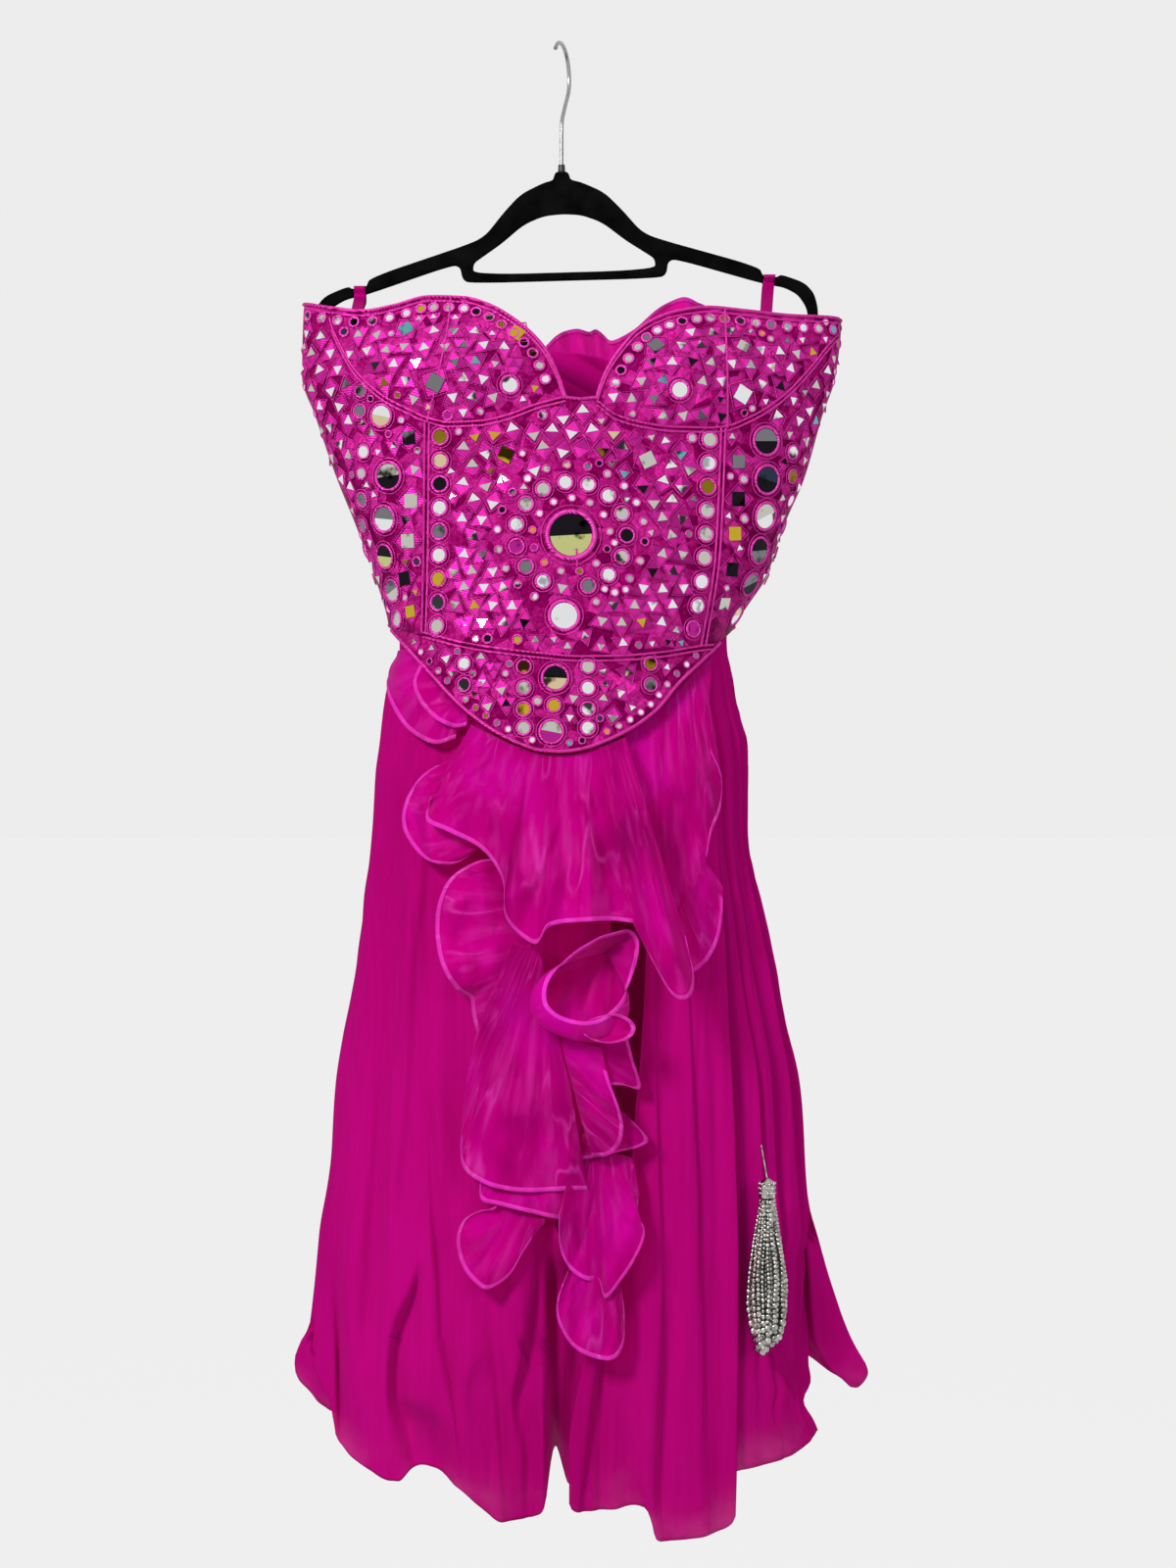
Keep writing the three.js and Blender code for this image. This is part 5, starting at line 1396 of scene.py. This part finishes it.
# ---- Ruffles ------------------------------------------------------------------------------------
# Each lobe is a fan of organza. First come how far its seam stands out, how far its middle swells, its
# flutes (number, depth, strength of creases) and the stretch of its edge that is bound. Its rows then say
# where the seam and the edge lie and how far the edge stands out: seam x, seam z, edge x, edge z, lift.
RUFFLES = {
    "ruffle_hip_left": (4.6, 3, (3, 1.6, 0.6), (0, 1), [
        (-125, -507, -135, -507, 5), (-119, -515, -144, -525, 7), (-110, -525, -141, -546, 9),
        (-100, -535.5, -126, -571, 9), (-89, -547, -103, -585, 9), (-80, -556, -84, -581, 8)]),
    "ruffle_hip_left_inner": (6.6, 3, (2, 1, 0.6), (0, 1), [
        (-108, -525, -114, -521, 11), (-102, -534, -119, -535, 14), (-94, -542.5, -114, -550, 16),
        (-86, -550.5, -102, -564, 16), (-79, -557.5, -87, -572, 14), (-74, -562, -75, -571, 12)]),
    "ruffle_upper_left": (2.2, 5, (3, 1.5, 0.8), (0.1, 0.96), [
        (-52, -590, -81, -594, 9), (-50, -602, -110, -610, 13), (-50, -618, -125, -632, 14),
        (-50, -633, -126, -655, 14), (-50, -647, -109, -677, 14), (-50, -656, -85, -681, 12),
        (-48, -664, -68, -670, 9)]),
    "ruffle_main": (13.5, 4, (5, 3.2, 1), (0, 1), [
        (-71, -570, -104, -631, 24), (-62, -575, -106, -647, 27), (-53, -579, -87, -656, 27),
        (-43, -584, -61, -670, 28), (-32, -588.5, -45, -693, 30), (-20, -592, -42, -724, 32),
        (-10, -594, -20, -743, 34), (1, -594.5, -9, -730, 31), (13, -593.5, 14, -726, 31),
        (24, -590, 41, -725, 32), (33, -586.5, 67, -728, 34)]),
    "ruffle_flute": (15.6, 7, (2, 2, 0.4), (0.15, 1), [
        (31, -588.5, 58, -728, 38), (36, -587, 74, -759, 44), (40, -585.5, 89, -783, 50),
        (44, -583.5, 101, -784, 50), (48, -582, 105, -769, 44), (52, -580, 99, -740, 38)]),
    "ruffle_mid_left": (2.1, 5, (3, 2, 0.9), (0, 1), [
        (-24, -683, -52, -677, 9), (-22, -690, -68, -680, 14), (-22, -700, -88, -693, 17),
        (-22, -712, -98, -715, 18), (-22, -728, -99, -740, 18), (-22, -742, -94, -762, 17),
        (-22, -752, -83, -780, 14), (-24, -760, -72, -788, 7), (-26, -770, -70, -800, 6),
        (-30, -780, -66, -815, 6), (-36, -788, -60, -828, 6)]),
    "ruffle_centre": (8.5, 3, (2, 1.4, 0.45), (0.44, 1), [
        (-38, -744, -41, -750, 9), (-34, -744, -53, -778, 10), (-31, -745, -65, -812, 11),
        (-28, -745, -73, -846, 11), (-25, -746, -77, -876, 12), (-22, -747, -79, -903, 12),
        (-19, -749, -77, -922, 12), (-16, -753, -62, -934, 12), (-13, -762, -40, -940, 12),
        (-9, -780, -16, -941, 11), (-3, -812, 6, -940, 10), (8, -856, 22, -940, 10)]),
    "ruffle_centre_hem": (4, 2, (2, 0.8, 0.5), (0, 1), [
        (-58, -915, -64, -936, 7), (-54, -916, -62, -949, 8), (-44, -918, -46, -953, 9),
        (-26, -920, -24, -958, 9), (-8, -922, -2, -963, 9), (8, -924, 18, -968, 8),
        (14, -926, 24, -966, 7)]),
    "ruffle_low_left": (0.9, 4, (2, 1.6, 0.6), (0, 0.86), [
        (-48, -951, -52, -955, 8), (-46, -952, -66, -958, 10), (-44, -952, -78, -966, 12),
        (-41, -953, -82.5, -981, 13), (-37, -953, -78, -1000, 13), (-33, -954, -68, -1013, 13),
        (-30, -955, -57, -1018, 13), (-26, -956, -41, -1008, 12), (-22, -957, -30, -990, 10),
        (-17, -959, -19, -974, 8), (-13, -960, -12, -966, 6)]),
    "ruffle_mid_right": (4.7, 4, (3, 1.8, 0.55), (0.12, 1), [
        (-2, -818, 33, -826, 12), (0, -832, 39, -852, 16), (4, -845, 47, -874, 18),
        (8, -858, 50, -889, 18), (12, -870, 47, -903, 17), (16, -884, 39, -911, 15),
        (20, -896, 26, -913, 12)]),
    "ruffle_flap_right": (2, 1, (2, 1, 0.6), (0, 1), [
        (24, -800, 48, -797, 5), (18, -806, 53, -816, 7), (14, -814, 58, -836, 9),
        (12, -822, 64, -859, 10), (10, -830, 50, -857, 9), (8, -836, 35, -855, 8), (4, -838, 14, -846, 6)]),
    "ruffle_point_right": (2, 1, (2, 1, 0.6), (0.1, 1), [
        (22, -862, 52, -880, 6), (22, -872, 62, -890, 8), (20, -884, 70, -901, 9),
        (18, -894, 62, -906, 9), (16, -902, 42, -911, 8), (14, -906, 24, -915, 7), (12, -908, 8, -916, 6)]),
    "ruffle_low_right": (2, 4, (2, 1.6, 0.6), (0.06, 0.96), [
        (12, -908, 2, -946, 9), (15, -909, -1, -964, 12), (18, -910, 0, -985, 13),
        (21, -910, 7, -1001, 13), (24, -911, 19, -1010, 13), (28, -911, 31, -1013, 10),
        (32, -911, 36, -1025, 14), (37, -912, 48, -1011, 19), (42, -912, 59, -994, 20),
        (48, -913, 67, -974, 18), (53, -914, 61, -959, 15), (58, -916, 63, -943, 11)]),
    "ruffle_tail": (10, 0, (2, 1.6, 0.7), (0, 1), [
        (12, -985, 5, -1008, 11), (16, -986, -2, -1027, 13), (20, -987, -1.5, -1044, 14),
        (24, -988, 10, -1063, 15), (28, -988, 27, -1072, 15), (32, -988, 42, -1073, 15),
        (37, -988, 50, -1062, 15), (42, -988, 51, -1044, 14), (46, -988, 50, -1028, 13)]),
    "ruffle_hip_right": (1.9, 3, (4, 2.2, 0.8), (0.52, 0.95), [
        (52, -572, 48, -622, 6), (60, -568, 62, -662, 9), (70, -562, 78, -700, 10),
        (80, -555, 92, -716, 10), (90, -545, 106, -706, 10), (98, -537, 116, -682, 11),
        (104, -529, 121, -657, 12), (109, -524, 129, -637, 12), (114, -520, 130, -614, 11),
        (120, -516, 121, -591, 9), (124, -512, 118, -572, 6)]),
    "ruffle_side_right": (1.9, 3, (2, 1.4, 0.8), (0.1, 1), [
        (96, -650, 131, -700, 10), (94, -662, 130, -722, 12), (92, -676, 126, -744, 12),
        (90, -690, 116, -760, 12), (88, -704, 104, -769, 11), (86, -714, 92, -770, 9)]),
}
# A rolled lobe is open in front: rim x, z and how far it stands out, round from its highest point, and
# the throat that it narrows to.
ROLLED = {
    "ruffle_loop": ((36, -752, 3), 36, [
        (55.6, -733, 20), (42, -735, 23), (28, -739.5, 26), (14, -748, 28), (1, -759, 30),
        (-9, -774, 31), (-10, -788, 31), (-3, -797, 31), (9, -802, 31), (22, -803.5, 31),
        (34, -800, 30), (46, -790, 28), (55, -774, 25), (61, -757, 21), (62.5, -742, 18)]),
    "ruffle_bow": ((20, -811, 21.5), 2, [
        (33, -799.5, 30), (45, -798, 32), (55, -802, 33), (59.5, -809, 33), (55.6, -816.5, 33),
        (45.5, -820, 33), (33, -819.5, 32), (23, -816, 30), (18, -811, 29), (22.5, -804, 29)]),
}
BINDING_WIDTH, BINDING_THICKNESS = 3.8, 1.2
LEAST_LIFT = 1.2  # how near the skirt a ruffle may lie
# Long creases with a place of their own: share along the seam, lean, width, depth and where each ends.
LONG_CREASES = {
    "ruffle_main": [(0.17, 0.28, 0.012, 3.5, 1.2), (0.7, 0.43, 0.012, 3.2, 1.2), (0.5, -0.1, 0.02, -3, 0.8),
                    (0.36, 0.16, 0.012, 2.8, 0.9)],
}


def crumples(seed, long_creases=()):
    """Soft and sharp creases that run from a seam towards an edge."""
    pick = random.Random(seed)
    phase = pick.uniform(0, 6.28)
    sharp = [(pick.uniform(0.03, 0.97), pick.uniform(-0.35, 0.35), pick.uniform(0.012, 0.045),
              pick.uniform(-3, 3.8), pick.uniform(0.5, 1.35)) for _ in range(9)]

    def relief(u, v, x, z, pleats):
        bend = u + 0.05 * np.sin(5 * u + phase)
        soft = np.sin(2 * np.pi * pleats[0] * bend + phase) * pleats[1] * v**1.3
        creases = (ripple(x, z, (26, 40), seed + 70) * 2 + ripple(x, z, (9, 14), seed + 90) * 0.45) * v
        for middle, lean, wide, depth, end in sharp + list(long_creases):
            stretch = smooth(v * 4) * smooth((end - v) * 3) * mix(0.4, 1, v)
            creases = creases + depth * hump(u + lean * (v - 0.4) - middle, wide * (0.6 + v)) * stretch
        return soft + pleats[2] * creases

    return relief


def fan_place(seam_lift, crown, pleats, rows, seed, long_creases):
    seam = spline([(x, z, seam_lift) for x, z, _, _, _ in rows])
    edge = spline([row[2:] for row in rows])
    relief = crumples(seed, long_creases)

    def place(u, v):
        at = mix(seam(u), edge(u), v[:, None])
        x, z = at[:, 0], at[:, 1]
        lift = at[:, 2] + crown * 4 * v * (1 - v) + relief(u, v, x, z, pleats)
        return x, skirt_at(x, z)[1] - np.maximum(lift, LEAST_LIFT), z

    return place


def rolled_place(throat, bulge, rim, seed):
    """A funnel of organza: v runs from the throat, over the swollen back, to the rim."""
    line = spline(rim, closed=True)
    middle = np.mean(rim, axis=0)
    relief = crumples(seed)

    def place(u, v):
        edge = line(u)
        at = mix(np.array(throat, float), edge, smooth(v * 0.5 + v**2 * 0.5)[:, None])
        outward = edge[:, :2] - middle[:2]
        outward = outward / np.maximum(np.linalg.norm(outward, axis=1, keepdims=True), 1)
        swell = bulge * np.sin(np.pi * v**1.4)
        low_side = smooth(0.1 - 0.9 * outward[:, 1] - 0.35 * outward[:, 0])
        x = at[:, 0] + outward[:, 0] * swell * low_side
        z = at[:, 1] + outward[:, 1] * swell * low_side
        lift = at[:, 2] + relief(u, v * (1 - v) * 3, x, z, (3, 0.8, 1)) * 0.6
        return x, skirt_at(x, z)[1] - np.maximum(lift, LEAST_LIFT), z

    return place


def bound_edge(name, sheet_place, stretch, count=110):
    """The bound edge: a narrow doubled band along a stretch of the sheet's edge."""
    shares = np.linspace(1, 0.6, 41)

    def place(u, v):
        u = mix(stretch[0], stretch[1], u)
        lines = np.stack([np.stack(sheet_place(u, np.full(u.shape, share)), 1) for share in shares])
        steps = np.linalg.norm(np.diff(lines, axis=0), axis=2)
        run = np.vstack([np.zeros(u.shape), np.cumsum(steps, axis=0)])
        share = [np.interp(BINDING_WIDTH * (1 - across), run[:, i], shares) for i, across in enumerate(v)]
        return sheet_place(u, np.array(share))

    return cloth(name + "_binding", place, count, 3, (organza_binding,), BINDING_THICKNESS, offset=0)


def finish_ruffle(name, place, stretch, materials=(organza,)):
    sheet = cloth(name + "_organza", place, 72, 34, materials, ORGANZA)
    bound = bound_edge(name, place, stretch)
    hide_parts(name)


for seed, (name, (seam_lift, crown, pleats, stretch, rows)) in enumerate(RUFFLES.items()):
    place = fan_place(seam_lift, crown, pleats, rows, seed, LONG_CREASES.get(name, ()))
    finish_ruffle(name, place, stretch)
for seed, (name, (throat, bulge, rim)) in enumerate(ROLLED.items()):
    # The rolled lobes' inside, which faces the front, gets the darker organza as painted shade.
    finish_ruffle(name, rolled_place(throat, bulge, rim, seed + 40), (0, 1), (organza_painted_shade, organza))

# ---- Behind the neckline ------------------------------------------------------------------------
BACK_RUFFLE = [  # seam x, seam z, edge x, edge z, lift
    (-10, -262, -14, -241, 3), (0, -263, -6, -233.5, 5), (10, -264, 3, -227.5, 8),
    (18, -265, 12, -226, 9), (26, -265, 22, -228.5, 7), (33, -266, 29, -226.5, 9),
    (40, -266, 36, -232, 6), (50, -266, 44, -237, 3), (60, -265, 61, -227, 7),
    (72, -263, 79, -211.5, 10), (85, -261, 92, -202.5, 12), (98, -259, 104, -199, 12),
    (110, -256, 115, -203, 10), (120, -254, 124, -209, 7), (128, -252, 136, -230, 4),
]
BACK_DRAPE = [  # x, top, bottom
    (-26, -252, -338), (0, -249, -344), (25, -252, -346), (50, -260, -344), (75, -268, -338),
    (98, -272, -330),
]
BACK_SEAM_LEVEL = -266.0  # the height at which the ruffle's seam lies on the back
drape_top, drape_bottom = curve(BACK_DRAPE, 1), curve(BACK_DRAPE, 2)


def behind(x, z):
    return bodice_behind(oval_angle(bodice_left(z), bodice_right(z), x), z)[1]


def back_ruffle_place(u, v):
    seam = spline([(x, z, 0.6) for x, z, _, _, _ in BACK_RUFFLE])
    edge = spline([row[2:] for row in BACK_RUFFLE])
    at = mix(seam(u), edge(u), v[:, None])
    x, z = at[:, 0], at[:, 1]
    flute = np.sin(2 * np.pi * 7 * u + 0.6) * 2.2 * v
    return x, behind(x, BACK_SEAM_LEVEL) + at[:, 2] + flute, z


def drape_place(u, v):
    """Folds that slant down towards the right and bow a little."""
    x = mix(BACK_DRAPE[0][0], BACK_DRAPE[-1][0], u)
    z = mix(drape_bottom(x), drape_top(x), v)
    across = 0.5 * x + 0.87 * z + 0.0016 * (x - 20) ** 2
    slanting = np.abs(np.sin(across / 8.5 + 0.6 * np.sin(across / 17))) ** 0.7
    return x, behind(x, z) - 2.2 - 5.5 * slanting, z


back_ruffle = cloth("back_ruffle_organza", back_ruffle_place, 110, 18, (organza,), ORGANZA)
back_bound = bound_edge("back_ruffle", back_ruffle_place, (0, 1), 180)
back_drape = cloth("back_drape_chiffon", drape_place, 100, 60, (chiffon,), CHIFFON)
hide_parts("back_ruffle")
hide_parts("back_drape")

# ---- Ribbon loops -------------------------------------------------------------------------------
LOOPS = {  # notch x and z, sewn x and z, height of the neckline
    "hanging_loop_left": (-168.8, -202.6, -167.6, -243, -226),
    "hanging_loop_right": (174, -193, 166.5, -245, -229),
}
RIBBON_WIDTH, RIBBON_THICKNESS = 9.5, 0.5
HANGER_DEPTH = 6


def loop_place(notch_x, notch_z, sewn_x, sewn_z, neck_z):
    """A ribbon from the lining up over the hanger's notch and back down."""

    def lining_y(z):
        return max(float(bodice_at(sewn_x + side * RIBBON_WIDTH, z)[1]) for side in (-0.5, 0.5)) + 4.2

    reach = HANGER_DEPTH / 2 + 1.4
    path = spline([(y, z) for y, z in (
        (lining_y(sewn_z), sewn_z), (lining_y(sewn_z + 8), sewn_z + 8), (lining_y(neck_z), neck_z),
        (-reach - 0.4, notch_z - 9), (-reach, notch_z - 1), (0, notch_z + 1.6), (reach, notch_z - 1),
        (reach + 0.6, notch_z - 11), (lining_y(neck_z) + 7, neck_z), (lining_y(sewn_z) + 3, sewn_z + 1))])

    def place(u, v):
        at = path(v)
        lean = mix(sewn_x, notch_x, np.clip((at[:, 1] - sewn_z) / (notch_z - sewn_z), 0, 1))
        return lean + (u - 0.5) * RIBBON_WIDTH, at[:, 0], at[:, 1]

    return place


for name, values in LOOPS.items():
    loop = cloth(name + "_ribbon", loop_place(*values), 8, 90, (ribbon,), RIBBON_THICKNESS, offset=0)
    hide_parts(name)

# ---- Hanger and hook ----------------------------------------------------------------------------
NUB_TOP = -105.5
HALF_OUTLINE = [
    (4.4, -105.5), (6.2, -108), (7.4, -112.5), (16, -114.6), (35, -123.5), (50, -139), (64, -156),
    (76, -163), (163, -189.5), (166, -197.8), (177.5, -198.9), (181, -196.4), (200, -203.6),
    (208, -212.5), (211, -224), (211, -237), (203, -238), (202, -225), (195, -213.5), (183, -206.8),
    (168, -204.2), (93, -180.5), (87, -183), (85.5, -192.5), (80, -196.5),
]
HALF_WINDOW = [(76, -189.8), (76, -180), (68, -174.5), (52, -164), (33, -148.5), (16, -141.8)]
ROUNDED = 3  # cuts each corner of the outline this many times
HANGER_EDGE = 1.6  # how far its edges are rounded over
HANGER_TILT = math.radians(-1.6)
SHARP_ANGLE = 1.2  # edges that turn further than this are rounded over


def both_halves(half, crest=()):
    return half + list(crest) + [(-x, z) for x, z in reversed(half)]


def rounded(corners, rounds):
    """Cuts the corners of a closed line, so that it runs smooth."""
    points = [np.array(p, float) for p in corners]
    for _ in range(rounds):
        cut = []
        for a, b in zip(points, points[1:] + points[:1]):
            cut += [mix(a, b, 0.2), mix(a, b, 0.8)]
        points = cut
    return points


def ring_of_edges(shape, points):
    verts = [shape.verts.new((x * MM, 0, (z - NUB_TOP) * MM)) for x, z in points]
    return [shape.edges.new(pair) for pair in zip(verts, verts[1:] + verts[:1])]


def hanger_mesh():
    shape = bmesh.new()
    edges = ring_of_edges(shape, rounded(both_halves(HALF_OUTLINE), ROUNDED))
    edges += ring_of_edges(shape, rounded(both_halves(HALF_WINDOW, [(0, -140.5)]), ROUNDED))
    bmesh.ops.triangle_fill(shape, edges=edges, use_beauty=True)
    bmesh.ops.dissolve_limit(shape, angle_limit=0.01, verts=shape.verts, edges=shape.edges)
    bmesh.ops.translate(shape, verts=shape.verts, vec=(0, -HANGER_DEPTH / 2 * MM, 0))
    grown = bmesh.ops.extrude_face_region(shape, geom=shape.faces[:])
    moved = [part for part in grown["geom"] if isinstance(part, bmesh.types.BMVert)]
    bmesh.ops.translate(shape, verts=moved, vec=(0, HANGER_DEPTH * MM, 0))
    bmesh.ops.recalc_face_normals(shape, faces=shape.faces)
    rim = [edge for edge in shape.edges if edge.calc_face_angle(0) > SHARP_ANGLE]
    bmesh.ops.bevel(shape, geom=rim, offset=HANGER_EDGE * MM, offset_type="OFFSET", segments=3, profile=0.5,
                    affect="EDGES", material=-1, clamp_overlap=True)
    tilt = Matrix.Translation((0, 0, NUB_TOP * MM)) @ Matrix.Rotation(HANGER_TILT, 4, "Y")
    bmesh.ops.transform(shape, matrix=tilt, verts=shape.verts)
    return mesh_of(shape, "hanger")


hanger = finish_object("velvet_hanger", hanger_mesh(), flock)
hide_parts("hanger_body")

WIRE_RADIUS = 1.7
HOOK_RADIUS = 24
HOOK_TURN = math.radians(75)


def hook_path():
    centre = WIRE_RADIUS - HOOK_RADIUS
    stem = [(0, NUB_TOP + 0.4), (0, -88), (0, -72), (1.5, -62), (8.5, -51)]
    bend = [(HOOK_RADIUS * math.cos(a), centre + HOOK_RADIUS * math.sin(a))
            for a in np.radians(np.linspace(-42, 142, 13))]
    line = spline(stem + bend)(np.linspace(0, 1, 160))
    return [(s * math.cos(HOOK_TURN), s * math.sin(HOOK_TURN), z) for s, z in line]


hook = cords("hook_wire", [hook_path()], WIRE_RADIUS, steel, 5)
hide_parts("hook")
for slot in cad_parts["hook_ferrule"].material_slots:
    slot.material = black_plastic

# ---- Bead tassel --------------------------------------------------------------------------------
TASSEL_X, TASSEL_Z, TASSEL_LENGTH, TASSEL_RADIUS = 166, -934, 142, 17
low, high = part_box("tassel_beads")
TASSEL_Y = (low[1] + high[1]) / 2 / MM


def bead(shape):
    bmesh.ops.create_uvsphere(shape, u_segments=8, v_segments=6, radius=1)


def turned(profile):
    """A turned piece from a profile of (radius, height) about the tassel's axis."""

    def make(shape):
        verts = [shape.verts.new((r, 0, z)) for r, z in profile]
        edges = [shape.edges.new(pair) for pair in zip(verts, verts[1:])]
        bmesh.ops.spin(shape, geom=verts + edges, cent=(0, 0, 0), axis=(0, 0, 1), angle=2 * math.pi,
                       steps=24, use_merge=True)
        bmesh.ops.remove_doubles(shape, verts=shape.verts, dist=0.01)

    return make


STAMPS["bead"] = template(bead)
STAMPS["tassel_cap"] = template(turned([(0, 0), (2.4, -0.6), (5.2, -3.5), (6.6, -8), (6.4, -13), (6.9, -15.6),
                                        (5.5, -16.4), (0, -16.4)]))
at_tassel = Matrix.Scale(MM, 4) @ Matrix.Translation((TASSEL_X, TASSEL_Y, TASSEL_Z))
beads, cap = Layer("tassel_bead_strands", silver), Layer("tassel_bead_cap", silver)
cap.stamp("tassel_cap", at_tassel)
STRANDS = 46
UNDER_CAP = 17.0  # where the strands' first beads hang
STRAND_TURN = 2.4  # spreads the strands evenly round the axis
END_BEADS = 3.2  # radius of the large beads that end a strand
for strand in range(STRANDS):
    angle = strand * STRAND_TURN
    spread = math.sqrt((strand + 0.5) / STRANDS)
    length = TASSEL_LENGTH * handwork.uniform(0.84, 0.97)
    drop = UNDER_CAP
    while drop < length:
        size = handwork.choice((1.4, 1.5, 1.7, 2.0)) * mix(1, 1.5, smooth((drop - 60) / 60))
        if drop > length - 9:
            size = END_BEADS
        fullness = mix(6, TASSEL_RADIUS - 1, smooth((drop - 12) / (TASSEL_LENGTH * 0.5)))
        reach = spread * fullness * (1 - 0.45 * smooth((drop / TASSEL_LENGTH - 0.7) / 0.3))
        wander = 0.5 * math.sin(drop / 9 + strand)
        spot = Matrix.Translation((reach * math.cos(angle) + wander, reach * math.sin(angle), -drop - size))
        beads.stamp("bead", at_tassel @ spot @ Matrix.Scale(size, 4))
        drop += size * 1.95
# Rows of beads round the cap.
CAP_REACH = 6.2
for turn_share in np.linspace(0, 1, 14, endpoint=False):
    for drop in (4.5, 8.2, 12):
        angle = 2 * math.pi * turn_share + drop
        spot = Matrix.Translation((CAP_REACH * math.cos(angle), CAP_REACH * math.sin(angle), -drop))
        cap.stamp("bead", at_tassel @ spot @ Matrix.Scale(1.25, 4))
cap_piece, bead_piece = cap.close(), beads.close()
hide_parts("tassel_cap")
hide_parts("tassel_beads")
low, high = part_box("tassel_loop")
loop_top = np.array([(low[0] + high[0]) / 2 / MM, high[1] / MM - 1, high[2] / MM - 1])
loop_foot = np.array([TASSEL_X, TASSEL_Y, TASSEL_Z - 1])
loop_line = [tuple(mix(loop_top, loop_foot, t)) for t in np.linspace(0, 1, 12)]
loop_piece = cords("tassel_thread_loop", [loop_line], 0.75, silver, 2)
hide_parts("tassel_loop")

# ---- Floor --------------------------------------------------------------------------------------
FLOOR_REACH, FLOOR_HEIGHT = 60, -2.0  # in metres


def floor_mesh():
    shape = bmesh.new()
    bmesh.ops.create_grid(shape, x_segments=1, y_segments=1, size=FLOOR_REACH)
    bmesh.ops.translate(shape, verts=shape.verts, vec=(0, 0, FLOOR_HEIGHT))
    return mesh_of(shape, "floor")


floor = add("floor", floor_mesh())
floor_paint, floor_tree, floor_shader = new_finish(
    "pale_floor", (0.03, 0.03, 0.03), 1.0, Specular_IOR_Level=0.0, Emission_Color=(*PAPER, 1))
feed(floor_tree, floor_shader, Emission_Strength=room_strength(floor_tree))
floor.data.materials.append(floor_paint)

bpy.context.view_layer.update()
